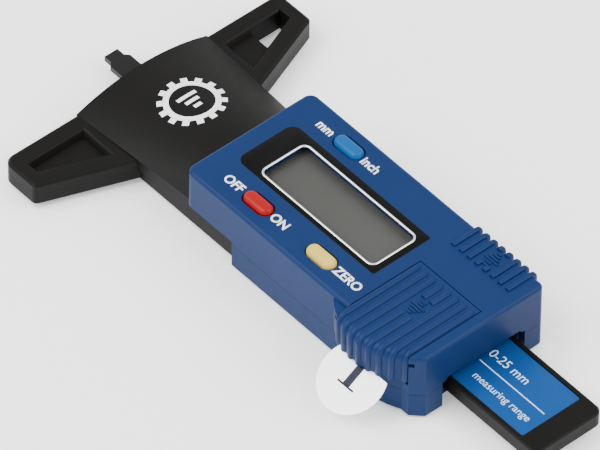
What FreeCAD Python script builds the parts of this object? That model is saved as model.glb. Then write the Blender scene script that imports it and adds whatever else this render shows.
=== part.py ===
"""Digital tyre tread depth gauge, built as a parametric assembly.

Frame, in millimetres: the origin is the middle of the flat back that the gauge rests on.
X runs from the foot towards the sliding tail, Y runs across the display towards the
windowed wing, and Z is up, out of the display. Each body is drawn with X = 0 on the
measuring face of the foot, and its placement moves it from there to the frame.
"""
import FreeCAD, Part
import math
import os
import re

import Sketcher

# Driving dimensions. Each one is a cell of the spreadsheet, under the same name.
SIZES = {
    # sliding beam
    "beam_width": 17.1,
    "beam_thickness": 3.2,
    "beam_offset": 0.9,
    "beam_rim": 1.15,
    "beam_recess": 0.4,
    "beam_corner": 2.0,
    "beam_nose_corner": 0.6,
    "beam_edge": 0.3,
    "beam_nose": 2.0,
    "tail_reach": 24.3,
    "travel_out": 15.0,
    "travel_in": 10.4,
    "end_gap": 0.5,
    "slide_gap": 0.15,
    "side_gap": 0.2,
    "label_length": 33.5,
    "label_margin": 5.1,
    "strip_gap": 0.1,
    "strip_thickness": 0.25,
    # measuring probe
    "probe_width": 5.0,
    "probe_thickness": 1.2,
    "probe_tip_width": 3.3,
    "probe_tip_length": 2.0,
    "probe_slope": 0.8,
    "probe_seat": 11.5,
    "front_rivet_share": 0.3,
    "rear_rivet_share": 0.75,
    "rivet_width": 1.6,
    # T-shaped foot and neck
    "foot_width": 70.0,
    "foot_tip_depth": 9.6,
    "foot_root_depth": 17.3,
    "foot_floor": 1.45,
    "foot_lower_height": 2.9,
    "foot_upper_height": 2.4,
    "foot_front_wall": 2.0,
    "foot_corner": 2.4,
    "foot_low_edge": 0.4,
    "foot_top_edge": 0.5,
    "neck_length": 31.6,
    "neck_wall": 5.15,
    "neck_flare": 1.7,
    "neck_rise": 3.1,
    "neck_step": 3.5,
    "neck_shoulder_rise": 0.1,
    "neck_roof": 2.4,
    "neck_roof_margin": 3.0,
    "tongue_length": 13.5,
    "tongue_head_gap": 0.1,
    "wing_recess_depth": 1.7,
    "wing_front_wall": 3.7,
    "wing_inner_wall": 1.3,
    "wing_outer_wall": 3.0,
    "wing_root_wall": 4.9,
    "wing_rear_wall": 3.0,
    "wing_window_length": 7.6,
    "recess_slope": 24.0,
    # blue housing: its length, width and height follow from what it holds
    "housing_wall": 1.6,
    "housing_floor": 1.5,
    "housing_corner": 2.0,
    "housing_edge": 0.9,
    "belly_edge": 0.6,
    "split_rise": 0.7,
    "neck_inset": 1.2,
    "rear_cut": 2.3,
    "rear_corner": 1.2,
    "belly_gap": 0.3,
    "board_gap": 0.6,
    # guide channel
    "channel_base": 1.15,
    "channel_wall": 1.0,
    "channel_head_gap": 0.05,
    "joint_gap": 0.1,
    "stop_pin_width": 2.0,
    "stop_pin_reach": 1.0,
    "stop_pin_setback": 14.9,
    "stop_pin_inset": 3.15,
    "gib_margin": 7.0,
    "gib_thickness": 0.4,
    "gib_gap": 0.1,
    "gib_inset": 0.4,
    # rear slot for the beam
    "slot_gap": 1.8,
    "slot_rise": 0.8,
    "slot_cut": 1.4,
    # display
    "view_length": 33.1,
    "view_width": 12.0,
    "window_thickness": 0.8,
    "window_lip": 1.2,
    "window_side_lip": 0.75,
    "bezel_setback": 4.5,
    "bezel_thickness": 0.3,
    "bezel_front_margin": 5.25,
    "bezel_rear_margin": 1.45,
    "bezel_left_margin": 1.0,
    "bezel_right_margin": 1.6,
    "bezel_corner": 2.2,
    "bezel_rear_corner": 0.7,
    "trim_corner": 1.4,
    "trim_width": 0.6,
    "trim_height": 0.15,
    "glass_margin": 1.45,
    "glass_side_margin": 1.3,
    "glass_thickness": 2.0,
    "glass_head_gap": 0.4,
    "holder_wall": 1.0,
    "zebra_width": 1.6,
    "zebra_inset": 0.2,
    "zebra_end_gap": 1.0,
    # circuit board
    "board_front_gap": 5.3,
    "board_rear_gap": 4.6,
    "board_lift": 0.15,
    "board_thickness": 1.0,
    "pad_thickness": 0.12,
    "pad_first": 14.0,
    "pad_pitch": 2.6,
    "pad_length": 2.0,
    "pad_width": 10.0,
    "chip_length": 4.5,
    "chip_height": 1.4,
    "chip_setback": 10.0,
    # push buttons
    "button_length": 7.4,
    "button_width": 3.7,
    "button_rise": 0.9,
    "button_setback": 16.2,
    "button_pitch": 18.3,
    "button_spacing": 0.6,
    "button_edge_room": 4.6,
    "button_gap": 0.15,
    "button_flange": 0.55,
    "button_flange_height": 0.65,
    "button_flange_drop": 0.25,
    "button_round": 0.7,
    "button_stem": 2.4,
    "button_press": 0.6,
    "button_rest_gap": 0.1,
    "dome_width": 4.0,
    "dome_height": 0.85,
    "dome_edge": 0.4,
    # battery
    "cell_width": 11.6,
    "cell_height": 5.4,
    "cell_lift": 1.65,
    "cell_head_gap": 0.3,
    "cell_wall_gap": 0.4,
    "cell_gap": 0.2,
    "cell_shift": 0.7,
    "cell_cap_height": 0.9,
    "cell_cap_inset": 1.2,
    "cell_round": 0.5,
    "cup_wall": 0.5,
    "cup_seat": 0.4,
    "cup_lip": 1.0,
    "contact_thickness": 0.2,
    "contact_width": 4.0,
    "spring_foot_share": 0.31,
    "spring_root_share": 0.28,
    "spring_crest_share": 0.09,
    "spring_tail_share": 0.22,
    "spring_tail_drop": 0.3,
    "clip_foot_share": 0.2,
    # battery door and its ribs
    "door_setback": 3.0,
    "door_cell_margin": 2.9,
    "door_rear_margin": 2.5,
    "door_inner": 2.3,
    "door_gap": 0.2,
    "door_skirt": 1.4,
    "door_flange": 0.9,
    "door_flange_height": 0.63,
    "door_flange_drop": 0.75,
    "bulge_shift": 2.4,
    "bulge_reach": 4.0,
    "bulge_overhang": 1.6,
    "belly_bulge_reach": 2.3,
    "belly_bulge_overhang": 0.5,
    "rib_margin": 1.0,
    "rib_width": 1.1,
    "rib_height": 0.5,
    "rib_inset": 0.6,
    "rib_skirt_drop": 0.2,
    "right_rib_length": 6.5,
    "right_bulge_reach": 0.9,
    "right_rib_rise": 2.7,
    "right_rib_bend": 1.3,
    "rib_round": 0.4,
    "arrow_width": 4.0,
    "arrow_length": 4.4,
    "right_arrow_inset": 0.8,
    "door_arrow_inset": 6.0,
    "bulge_round": 2.0,
    # battery pull tab
    "film_thickness": 0.2,
    "film_width": 8.0,
    "film_gap": 0.05,
    "film_sill_gap": 0.15,
    "film_head_gap": 0.45,
    "film_bend_gap": 0.4,
    "film_inner_end": 3.0,
    "tab_radius": 7.4,
    "tab_drop": 32.0,
    "tab_reach": 3.4,
    # working allowances of the cuts
    "overshoot": 1.0,
    "pouch_inset": 0.4,
    # screws
    "screw_width": 2.0,
    "screw_fit": 0.2,
    "screw_head_width": 3.6,
    "screw_head_height": 1.0,
    "screw_seat_gap": 0.3,
    "screw_sink": 0.2,
    "screw_slot_width": 0.4,
    "screw_slot_depth": 0.5,
    "boss_width": 3.8,
    "boss_root": 0.3,
    "case_screw_inset": 3.3,
    "case_screw_left_setback": 2.9,
    "case_screw_right_setback": 3.4,
    "case_screw_bite": 3.9,
    "neck_screw_setback": 4.0,
    "neck_screw_inset": 2.5,
    "neck_screw_bite": 4.6,
    "foot_screw_front": 6.5,
    "foot_screw_front_inset": 2.9,
    "foot_screw_rear_setback": 5.6,
    "foot_screw_rear_inset": 2.6,
    "foot_screw_bite": 2.2,
    "pilot_spare": 0.1,
    "board_screw_width": 1.4,
    "board_screw_head_width": 2.6,
    "board_screw_head_height": 0.7,
    "board_screw_bite": 2.0,
    "board_screw_inset": 3.2,
    "board_screw_front": 3.2,
    "board_screw_rear": 2.2,
    "board_post_width": 3.2,
}

RIB_COUNT = 8
PAD_COUNT = 12

# Distances under which two places count as the same, in millimetres.
NEAR = 1e-3
TOUCH = 1e-6

# Places and sizes that follow from the driving dimensions.
PLACES = {
    # heights, from the back upwards
    "channel_floor": "housing_floor + channel_base",
    "foot_underside": "channel_floor - foot_floor",
    "foot_split": "foot_underside + foot_lower_height",
    "foot_wing_top": "foot_split + foot_upper_height",
    "hump_crown": "foot_wing_top + neck_rise",
    "beam_underside": "channel_floor + slide_gap",
    "beam_top": "beam_underside + beam_thickness",
    "beam_bed": "beam_top - beam_recess",
    "channel_top": "beam_top + slide_gap + channel_head_gap",
    "tongue_top": "channel_top",
    "housing_split": "channel_top + split_rise",
    "neck_shoulder": "housing_split + neck_shoulder_rise",
    "board_underside": "channel_top + board_lift",
    "board_top": "board_underside + board_thickness",
    "dome_top": "board_top + dome_height",
    "cell_underside": "board_top + cell_lift",
    "cell_top": "cell_underside + cell_height",
    "housing_ceiling": "cell_top + cell_head_gap",
    "housing_height": "housing_ceiling + housing_wall",
    "neck_crown": "housing_height - neck_step",
    "glass_top": "housing_ceiling - glass_head_gap",
    "glass_base": "glass_top - glass_thickness",
    "bezel_floor": "housing_height - bezel_thickness",
    "window_floor": "bezel_floor - window_thickness",
    "film_level": "cell_underside - film_gap - film_thickness",
    "bay_sill": "film_level - film_sill_gap",
    "door_skirt_end": "film_level + film_thickness + film_head_gap",
    "rib_skirt_end": "door_skirt_end - rib_skirt_drop",
    "right_rib_end": "housing_split + right_rib_rise",
    "slot_top": "housing_split + slot_rise",
    # sides, from the middle outwards
    "beam_low_side": "beam_offset - beam_width / 2",
    "beam_high_side": "beam_offset + beam_width / 2",
    "channel_low_side": "beam_low_side - side_gap",
    "channel_high_side": "beam_high_side + side_gap",
    "probe_low_side": "beam_offset - probe_width / 2",
    "probe_high_side": "beam_offset + probe_width / 2",
    "neck_half": "channel_high_side + neck_wall",
    "hump_half_width": "neck_half + neck_flare",
    "foot_half": "foot_width / 2",
    "view_half": "view_width / 2",
    "glass_half": "view_half + glass_side_margin",
    "holder_half": "glass_half + holder_wall + joint_gap",
    "button_reach": "button_width / 2 + button_flange",
    "display_side": "holder_half + button_spacing + button_reach + button_edge_room",
    "housing_half": "max(neck_half + neck_inset; display_side)",
    "button_side": "housing_half - button_edge_room",
    "board_half": "housing_half - housing_wall - board_gap",
    "cell_side": "housing_half - housing_wall - cell_wall_gap - cell_width / 2",
    "bezel_left": "view_half + bezel_left_margin",
    "bezel_right": "view_half + bezel_right_margin",
    "wing_recess_inner": "hump_half_width + wing_inner_wall",
    "wing_recess_outer": "foot_half - wing_outer_wall",
    "wing_window_inner": "wing_recess_outer - wing_window_length",
    "wing_recess_deep": "foot_root_depth - wing_root_wall",
    "wing_recess_shallow": "foot_tip_depth - wing_rear_wall",
    "slot_low_side": "beam_low_side - slot_gap",
    "slot_high_side": "beam_high_side + slot_gap",
    "right_rib_side": "housing_half + right_bulge_reach",
    "stop_pin_side": "beam_high_side - stop_pin_inset",
    "case_screw_side": "housing_half - case_screw_inset",
    "neck_screw_side": "neck_half - neck_screw_inset",
    "foot_screw_front_side": "hump_half_width - foot_screw_front_inset",
    "foot_screw_rear_side": "neck_half - foot_screw_rear_inset",
    "board_screw_side": "neck_half - board_screw_inset",
    "board_post_side": "channel_high_side + channel_wall + 2 * joint_gap + board_post_width / 2",
    # lengths, from the foot towards the tail
    "housing_front": "neck_length",
    "tongue_end": "housing_front + tongue_length",
    "belly_front": "tongue_end + belly_gap",
    "bezel_front": "housing_front + bezel_setback",
    "view_front": "bezel_front + bezel_front_margin",
    "view_rear": "view_front + view_length",
    "glass_front": "view_front - glass_margin",
    "glass_rear": "view_rear + glass_margin",
    "bezel_rear": "view_rear + bezel_rear_margin",
    "door_front": "bezel_rear + door_setback",
    "door_length": "cell_width + 2 * door_cell_margin",
    "door_rear": "door_front + door_length",
    "door_middle": "door_front + door_length / 2",
    "housing_rear": "door_rear + door_rear_margin",
    "back_middle": "(belly_front + housing_rear) / 2",
    "cell_middle": "door_middle - cell_shift",
    "rib_first": "door_front + rib_margin",
    "rib_pitch": f"(door_length - 2 * rib_margin) / {RIB_COUNT - 1}",
    "arrow_middle": "door_middle",
    "arrow_front": "arrow_middle - arrow_width / 2",
    "arrow_rear": "arrow_middle + arrow_width / 2",
    "board_front": "housing_front + housing_wall + board_front_gap",
    "board_rear": "housing_rear - housing_wall - board_rear_gap",
    "button_front": "housing_front + button_setback",
    "button_rear": "button_front + button_pitch",
    "beam_front": "foot_front_wall + end_gap + travel_out",
    "beam_rear": "housing_rear + tail_reach",
    "label_rear": "beam_rear - label_margin",
    "label_front": "label_rear - label_length",
    "probe_root": "beam_front + probe_seat",
    "probe_shoulder": "probe_tip_length + probe_slope - travel_in",
    "channel_front": "tongue_end + joint_gap",
    "channel_rear": "housing_rear - housing_wall - belly_gap",
    "stop_pin_place": "tongue_end + stop_pin_setback",
    "gib_end": "channel_rear - gib_margin",
    "case_screw_front": "(button_front + button_rear) / 2",
    "case_screw_left": "door_front - case_screw_left_setback",
    "case_screw_right": "housing_rear - case_screw_right_setback",
    "neck_screw_place": "housing_front + neck_screw_setback",
    "foot_screw_rear": "housing_front - foot_screw_rear_setback",
    # bulges round the battery
    "bulge_middle": "door_middle - bulge_shift",
    "bulge_chord": "door_length + 2 * bulge_overhang",
    "bulge_radius": "(bulge_chord^2 / 4 + bulge_reach^2) / (2 * bulge_reach)",
    "bulge_centre": "housing_half + bulge_reach - bulge_radius",
    "skirt_inner_radius": "bulge_radius - door_skirt",
    "belly_bulge_chord": "door_length + 2 * belly_bulge_overhang",
    "belly_bulge_radius": "(belly_bulge_chord^2 / 4 + belly_bulge_reach^2) / (2 * belly_bulge_reach)",
    "belly_bulge_centre": "housing_half + belly_bulge_reach - belly_bulge_radius",
    "tab_bend": "housing_half + belly_bulge_reach + film_bend_gap",
    # screws
    "screw_hole": "screw_width + screw_fit",
    "screw_seat": "screw_head_width + screw_seat_gap",
}

document = FreeCAD.newDocument("TreadDepthGauge")
sheet = document.addObject("Spreadsheet::Sheet", "Dims")
for row, (size_name, size_value) in enumerate(SIZES.items(), start=1):
    sheet.set(f"A{row}", size_name)
    sheet.set(f"B{row}", str(size_value))
    sheet.setAlias(f"B{row}", size_name)
document.recompute()


def bind(expression):
    """Turn words such as 'beam_width / 2' into a spreadsheet expression."""
    def swap(match):
        word = match.group(0)
        if word in PLACES:
            return f"({bind(PLACES[word])})"
        return f"Dims.{word}" if word in SIZES else word

    return re.sub(r"[a-z][a-z_]*", swap, str(expression))


def value(expression):
    """Give the present number of an expression."""
    return float(sheet.evalExpression(bind(expression)))


class Outline:
    """A sketch whose corners, centres and radii are bound to the spreadsheet."""

    def __init__(self, body, name, plane, level):
        self.sketch = body.newObject("Sketcher::SketchObject", name)
        origin_plane = [item for item in body.Origin.OriginFeatures if item.Role == plane][0]
        self.sketch.AttachmentSupport = [(origin_plane, "")]
        self.sketch.MapMode = "FlatFace"
        self.sketch.setExpression(".AttachmentOffset.Base.z", bind(level))

    def constrain(self, kind, *arguments, size=None):
        """Add one constraint, bound to an expression when a size is given."""
        if size is None:
            self.sketch.addConstraint(Sketcher.Constraint(kind, *arguments))
            return
        index = self.sketch.addConstraint(Sketcher.Constraint(kind, *arguments, value(size)))
        self.sketch.setExpression(f"Constraints[{index}]", bind(size))

    def place(self, curve, point, across=None, along=None):
        """Hold one point of a curve at its distances from the origin."""
        if across is not None:
            self.constrain("DistanceX", -1, 1, curve, point, size=across)
        if along is not None:
            self.constrain("DistanceY", -1, 1, curve, point, size=along)

    def polygon(self, corners):
        """Draw a closed polygon through corners given as pairs of expressions."""
        first = self.sketch.GeometryCount
        count = len(corners)
        points = [FreeCAD.Vector(value(x), value(y), 0) for x, y in corners]
        for index in range(count):
            self.sketch.addGeometry(Part.LineSegment(points[index], points[(index + 1) % count]))
        for index in range(count):
            self.constrain("Coincident", first + index, 2, first + (index + 1) % count, 1)
        for index, (x, y) in enumerate(corners):
            self.place(first + index, 1, x, y)
        return self

    def rectangle(self, low_x, high_x, low_y, high_y):
        """Draw an upright rectangle."""
        first = self.sketch.GeometryCount
        left, right, bottom, top = value(low_x), value(high_x), value(low_y), value(high_y)
        corners = [(left, bottom), (right, bottom), (right, top), (left, top)]
        points = [FreeCAD.Vector(x, y, 0) for x, y in corners]
        for index in range(4):
            self.sketch.addGeometry(Part.LineSegment(points[index], points[(index + 1) % 4]))
        for index in range(4):
            self.constrain("Coincident", first + index, 2, first + (index + 1) % 4, 1)
            self.constrain("Vertical" if index % 2 else "Horizontal", first + index)
        self.place(first, 1, low_x, low_y)
        self.place(first + 2, 1, high_x, high_y)
        return self

    def circle(self, centre_x, centre_y, diameter):
        """Draw a full circle."""
        centre = FreeCAD.Vector(value(centre_x), value(centre_y), 0)
        axis = FreeCAD.Vector(0, 0, 1)
        curve = self.sketch.addGeometry(Part.Circle(centre, axis, value(diameter) / 2))
        self.place(curve, 3, centre_x, centre_y)
        self.constrain("Diameter", curve, size=diameter)
        return self

    def capsule(self, centre_x, centre_y, length, width):
        """Draw a slot with round ends that lies along X."""
        half = f"(({length}) - ({width})) / 2"
        middle_y, radius = value(centre_y), value(width) / 2
        axis = FreeCAD.Vector(0, 0, 1)
        ends = []
        for side, start, stop in ((-1, math.pi / 2, 3 * math.pi / 2), (1, -math.pi / 2, math.pi / 2)):
            centre_place = f"{centre_x} + {side} * {half}"
            centre = FreeCAD.Vector(value(centre_place), middle_y, 0)
            round_end = Part.Circle(centre, axis, radius)
            curve = self.sketch.addGeometry(Part.ArcOfCircle(round_end, start, stop))
            self.place(curve, 3, centre_place, centre_y)
            self.constrain("Radius", curve, size=f"({width}) / 2")
            self.constrain("Vertical", curve, 1, curve, 3)
            self.constrain("Vertical", curve, 2, curve, 3)
            ends.append(curve)
        left, right = ends
        for sign, here, there in ((1, (left, 1), (right, 2)), (-1, (left, 2), (right, 1))):
            start = FreeCAD.Vector(value(f"{centre_x} - {half}"), middle_y + sign * radius, 0)
            stop = FreeCAD.Vector(value(f"{centre_x} + {half}"), middle_y + sign * radius, 0)
            line = self.sketch.addGeometry(Part.LineSegment(start, stop))
            self.constrain("Coincident", line, 1, *here)
            self.constrain("Coincident", line, 2, *there)
        return self

    def segment(self, centre_x, centre_y, radius, chord_y):
        """Draw the part of a circle that lies below a chord along X."""
        middle = FreeCAD.Vector(value(centre_x), value(centre_y), 0)
        reach, level = value(radius), value(chord_y)
        angle = math.asin((level - middle.y) / reach)
        axis = FreeCAD.Vector(0, 0, 1)
        arc = Part.ArcOfCircle(Part.Circle(middle, axis, reach), math.pi - angle, 2 * math.pi + angle)
        curve = self.sketch.addGeometry(arc)
        chord = self.sketch.addGeometry(Part.LineSegment(arc.EndPoint, arc.StartPoint))
        self.place(curve, 3, centre_x, centre_y)
        self.constrain("Radius", curve, size=radius)
        self.constrain("Coincident", chord, 1, curve, 2)
        self.constrain("Coincident", chord, 2, curve, 1)
        self.constrain("Horizontal", chord)
        self.place(chord, 1, along=chord_y)
        return self

    def arch(self, half_width, base, shoulder, crown):
        """Draw a block with an arched top, centred on the origin."""
        rise = f"(({crown}) - ({shoulder}))"
        radius = f"((({half_width})^2 + {rise}^2) / (2 * {rise}))"
        reach, bottom, side = value(half_width), value(base), value(shoulder)
        centre = FreeCAD.Vector(0, value(f"{crown} - {radius}"), 0)
        corners = [(-reach, side), (-reach, bottom), (reach, bottom), (reach, side)]
        points = [FreeCAD.Vector(x, y, 0) for x, y in corners]
        for index in range(3):
            self.sketch.addGeometry(Part.LineSegment(points[index], points[index + 1]))
        start = math.atan2(side - centre.y, reach)
        round_top = Part.Circle(centre, FreeCAD.Vector(0, 0, 1), value(radius))
        self.sketch.addGeometry(Part.ArcOfCircle(round_top, start, math.pi - start))
        for line in (0, 1):
            self.constrain("Coincident", line, 2, line + 1, 1)
        self.constrain("Coincident", 2, 2, 3, 1)
        self.constrain("Coincident", 3, 2, 0, 1)
        self.place(0, 1, f"-({half_width})", shoulder)
        self.place(1, 1, f"-({half_width})", base)
        self.place(2, 1, half_width, base)
        self.constrain("Vertical", 2)
        self.place(3, 3, "0", f"{crown} - {radius}")
        return self


class Piece:
    """One sub-part: a body whose features are made in order."""

    def __init__(self, label):
        self.body = document.addObject("PartDesign::Body", label)
        self.body.Label = label
        self.body.AllowCompound = True
        self.body.setExpression(".Placement.Base.x", bind("-back_middle"))
        self.count = 0

    def name(self, kind):
        """Give the next feature of this piece a name."""
        self.count += 1
        return f"{self.body.Label}_{kind}_{self.count:02d}"

    def outline(self, level="0", plane="XY_Plane"):
        """Start a sketch parallel to one of the body's own planes."""
        return Outline(self.body, self.name("sketch"), plane, level)

    def volume(self):
        """Give the present volume of the piece."""
        return self.body.Tip.Shape.Volume

    def finish_feature(self, feature):
        """Recompute, and stop if the feature failed."""
        document.recompute()
        if feature.Shape.isNull() or not feature.isValid() or not feature.Shape.isValid():
            raise RuntimeError(f"{feature.Name} could not be made")

    def pad(self, outline, length, reverse=False, taper=None):
        """Add material from an outline."""
        feature = self.body.newObject("PartDesign::Pad", self.name("pad"))
        feature.Profile = outline.sketch
        feature.Reversed = reverse
        feature.setExpression("Length", bind(length))
        if taper is not None:
            feature.setExpression("TaperAngle", bind(taper))
        self.finish_feature(feature)

    def pocket(self, outline, depth, reverse=False, taper=None):
        """Remove material from an outline, and check that some went."""
        before = self.volume()
        feature = self.body.newObject("PartDesign::Pocket", self.name("pocket"))
        feature.Profile = outline.sketch
        feature.Reversed = reverse
        feature.setExpression("Length", bind(depth))
        if taper is not None:
            feature.setExpression("TaperAngle", bind(taper))
        self.finish_feature(feature)
        if feature.Shape.Volume > before - TOUCH:
            raise RuntimeError(f"{feature.Name} removed nothing")

    def edges(self, along=None, keep=None, **places):
        """Name the straight edges that run along an axis at given places."""
        wanted = {axis: value(place) for axis, place in places.items()}
        names = []
        for index, edge in enumerate(self.body.Tip.Shape.Edges, start=1):
            ends = [vertex.Point for vertex in edge.Vertexes]
            if len(ends) < 2:
                continue
            if along is not None:
                run = ends[1] - ends[0]
                if abs(abs(getattr(run.normalize(), along)) - 1) > NEAR:
                    continue
            held = all(
                abs(getattr(end, axis) - place) < NEAR for end in ends for axis, place in wanted.items())
            if held and (keep is None or keep(edge)):
                names.append(f"Edge{index}")
        return names

    def dress(self, kind, names, size):
        """Fillet or chamfer the named edges of the present shape."""
        if not names:
            raise RuntimeError(f"{self.body.Label} has no edge to {kind.lower()}")
        base = self.body.Tip
        feature = self.body.newObject(f"PartDesign::{kind}", self.name(kind.lower()))
        feature.Base = (base, names)
        size_property = "Radius" if kind == "Fillet" else "Size"
        feature.setExpression(size_property, bind(size))
        self.finish_feature(feature)

    def fillet(self, names, radius):
        """Round the named edges."""
        self.dress("Fillet", names, radius)

    def chamfer(self, names, size):
        """Bevel the named edges."""
        self.dress("Chamfer", names, size)

    def loft(self, first, second):
        """Add a loft between two outlines."""
        feature = self.body.newObject("PartDesign::AdditiveLoft", self.name("loft"))
        feature.Profile = first.sketch
        feature.Sections = [second.sketch]
        self.finish_feature(feature)


def foot_outline(outline, rear):
    """Draw the plan of the T: two tapering wings and the neck, as far as its rear end."""
    corners = [
        ("0", "-foot_half"),
        ("foot_tip_depth", "-foot_half"),
        ("foot_root_depth", "-neck_half"),
        ("foot_root_depth", "neck_half"),
        ("foot_tip_depth", "foot_half"),
        ("0", "foot_half"),
    ]
    if rear != "foot_root_depth":
        corners[3:3] = [(rear, "-neck_half"), (rear, "neck_half")]
    return outline.polygon(corners)


def wing_recess(outline, side, inner):
    """Draw the trapezoid recess of one wing from an inner line outwards."""
    slope = "(wing_recess_deep - wing_recess_shallow) / (wing_recess_outer - wing_recess_inner)"
    depth_here = f"wing_recess_deep - {slope} * ({inner} - wing_recess_inner)"
    corners = [
        ("wing_front_wall", f"{side} * {inner}"),
        (depth_here, f"{side} * {inner}"),
        ("wing_recess_shallow", f"{side} * wing_recess_outer"),
        ("wing_front_wall", f"{side} * wing_recess_outer"),
    ]
    return outline.polygon(corners if side > 0 else corners[::-1])


def foot_screw_places():
    """Give the four places of the foot screws."""
    return [
        place
        for side in (-1, 1)
        for place in (
            ("foot_screw_front", f"{side} * foot_screw_front_side"),
            ("foot_screw_rear", f"{side} * foot_screw_rear_side"),
        )
    ]


def neck_screw_places():
    """Give the two places of the screws that hold the tongue."""
    return [("neck_screw_place", f"{side} * neck_screw_side") for side in (-1, 1)]


def through_case_screw_places():
    """Give the case screws that pass the circuit board beside the display."""
    return [
        ("case_screw_front", "-case_screw_side"),
        ("case_screw_front", "case_screw_side"),
        ("case_screw_left", "-case_screw_side"),
    ]


def case_screw_places():
    """Give the four places of the case screws. The right rear one stands behind the board."""
    return through_case_screw_places() + [("case_screw_right", "case_screw_side")]


def board_screw_places():
    """Give the screws that hold the board: two in the tongue, one on a post."""
    return [
        ("board_front + board_screw_front", "-board_screw_side"),
        ("board_front + board_screw_front", "board_screw_side"),
        ("board_rear - board_screw_rear", "board_post_side"),
    ]


def button_places():
    """Give each button's name and place on the top face."""
    return [
        ("power_button", "button_front", "-button_side"),
        ("unit_button", "button_front", "button_side"),
        ("zero_button", "button_rear", "-button_side"),
    ]


def rivet_places():
    """Give the places of the two rivets that hold the probe."""
    shares = ("front_rivet_share", "rear_rivet_share")
    return [(f"beam_front + {share} * probe_seat", "beam_offset") for share in shares]


def circles(outline, places, diameter):
    """Draw one circle at each place."""
    for x, y in places:
        outline.circle(x, y, diameter)
    return outline


def flat_edges(piece, level, wanted):
    """Name the edges of a piece that lie at one height and that a test accepts."""
    names = []
    for index, edge in enumerate(piece.body.Tip.Shape.Edges, start=1):
        flat = edge.BoundBox.ZLength < TOUCH and abs(edge.BoundBox.ZMin - value(level)) < NEAR
        if flat and wanted(edge):
            names.append(f"Edge{index}")
    return names


def full_circle(edge):
    """Say whether an edge is a whole circle."""
    return len(edge.Vertexes) == 1


def round_edge(edge):
    """Say whether an edge is an arc or a circle."""
    return isinstance(edge.Curve, Part.Circle)


def screw_holes(piece, level, places):
    """Cut a sunk seat and a clearance hole for each screw, from a lower face upwards."""
    seats = circles(piece.outline(level), places, "screw_seat")
    piece.pocket(seats, "screw_head_height + screw_sink", reverse=True)
    holes = circles(piece.outline(level), places, "screw_hole")
    piece.pocket(holes, "housing_split", reverse=True)


def make_foot_lower_shell():
    """Lower half of the T: floor, beam channel and probe notch."""
    piece = Piece("foot_lower_shell")
    plan = foot_outline(piece.outline("foot_underside"), "tongue_end")
    piece.pad(plan, "foot_split - foot_underside")
    piece.fillet(piece.edges("z", x="0"), "foot_corner")
    piece.fillet(piece.edges("z", x="foot_tip_depth"), "foot_corner / 2")
    hidden = value("tongue_end") - NEAR
    piece.chamfer(
        piece.edges(z="foot_underside", keep=lambda edge: edge.BoundBox.XMax < hidden), "foot_low_edge")
    channel = piece.outline("channel_floor").rectangle(
        "foot_front_wall", "tongue_end + overshoot", "channel_low_side", "channel_high_side")
    piece.pocket(channel, "foot_split", reverse=True)
    notch = piece.outline("channel_floor").rectangle(
        "-overshoot", "foot_front_wall + overshoot",
        "probe_low_side - side_gap", "probe_high_side + side_gap")
    piece.pocket(notch, "foot_split", reverse=True)
    window = wing_recess(piece.outline("foot_underside - overshoot"), 1, "wing_window_inner")
    piece.pocket(window, "foot_split", reverse=True)
    screw_holes(piece, "foot_underside", foot_screw_places() + neck_screw_places())


def make_foot_upper_shell():
    """Upper half of the T: wings with recesses and the arched neck."""
    piece = Piece("foot_upper_shell")
    wings = foot_outline(piece.outline("foot_split"), "foot_root_depth")
    piece.pad(wings, "foot_wing_top - foot_split")
    piece.fillet(piece.edges("z", x="0"), "foot_corner")
    piece.fillet(piece.edges("z", x="foot_tip_depth"), "foot_corner / 2")
    hidden = value("foot_root_depth") - NEAR
    piece.chamfer(
        piece.edges(z="foot_wing_top", keep=lambda edge: edge.BoundBox.XMin < hidden), "foot_top_edge")
    front = piece.outline("0", "YZ_Plane")
    front.arch("hump_half_width", "foot_split", "foot_wing_top", "hump_crown")
    rear = piece.outline("housing_front", "YZ_Plane")
    rear.arch("neck_half", "foot_split", "neck_shoulder", "neck_crown")
    piece.loft(front, rear)
    tongue = piece.outline("foot_split").rectangle(
        "housing_front - overshoot", "tongue_end", "-neck_half", "neck_half")
    piece.pad(tongue, "tongue_top - foot_split")
    for side in (-1, 1):
        recess = wing_recess(piece.outline("foot_wing_top"), side, "wing_recess_inner")
        piece.pocket(recess, "wing_recess_depth", taper="-recess_slope")
    window = wing_recess(piece.outline("foot_split - overshoot"), 1, "wing_window_inner")
    piece.pocket(window, "foot_wing_top", reverse=True)
    channel = piece.outline("foot_split").rectangle(
        "foot_front_wall", "tongue_end + overshoot", "channel_low_side", "channel_high_side")
    piece.pocket(channel, "channel_top - foot_split + tongue_head_gap", reverse=True)
    hollow = piece.outline("foot_split").rectangle(
        "foot_front_wall + neck_roof_margin", "housing_front - neck_roof_margin",
        "-neck_half / 2", "neck_half / 2")
    piece.pocket(hollow, "hump_crown - neck_roof - foot_split", reverse=True)
    pilots = circles(piece.outline("foot_split"), foot_screw_places(), "screw_width")
    piece.pocket(pilots, "foot_screw_bite + pilot_spare", reverse=True)
    passages = circles(piece.outline("foot_split"), neck_screw_places(), "screw_hole")
    piece.pocket(passages, "tongue_top", reverse=True)
    board_pilots = circles(piece.outline("tongue_top"), board_screw_places()[:2], "board_screw_width")
    piece.pocket(board_pilots, "board_screw_bite")


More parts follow.
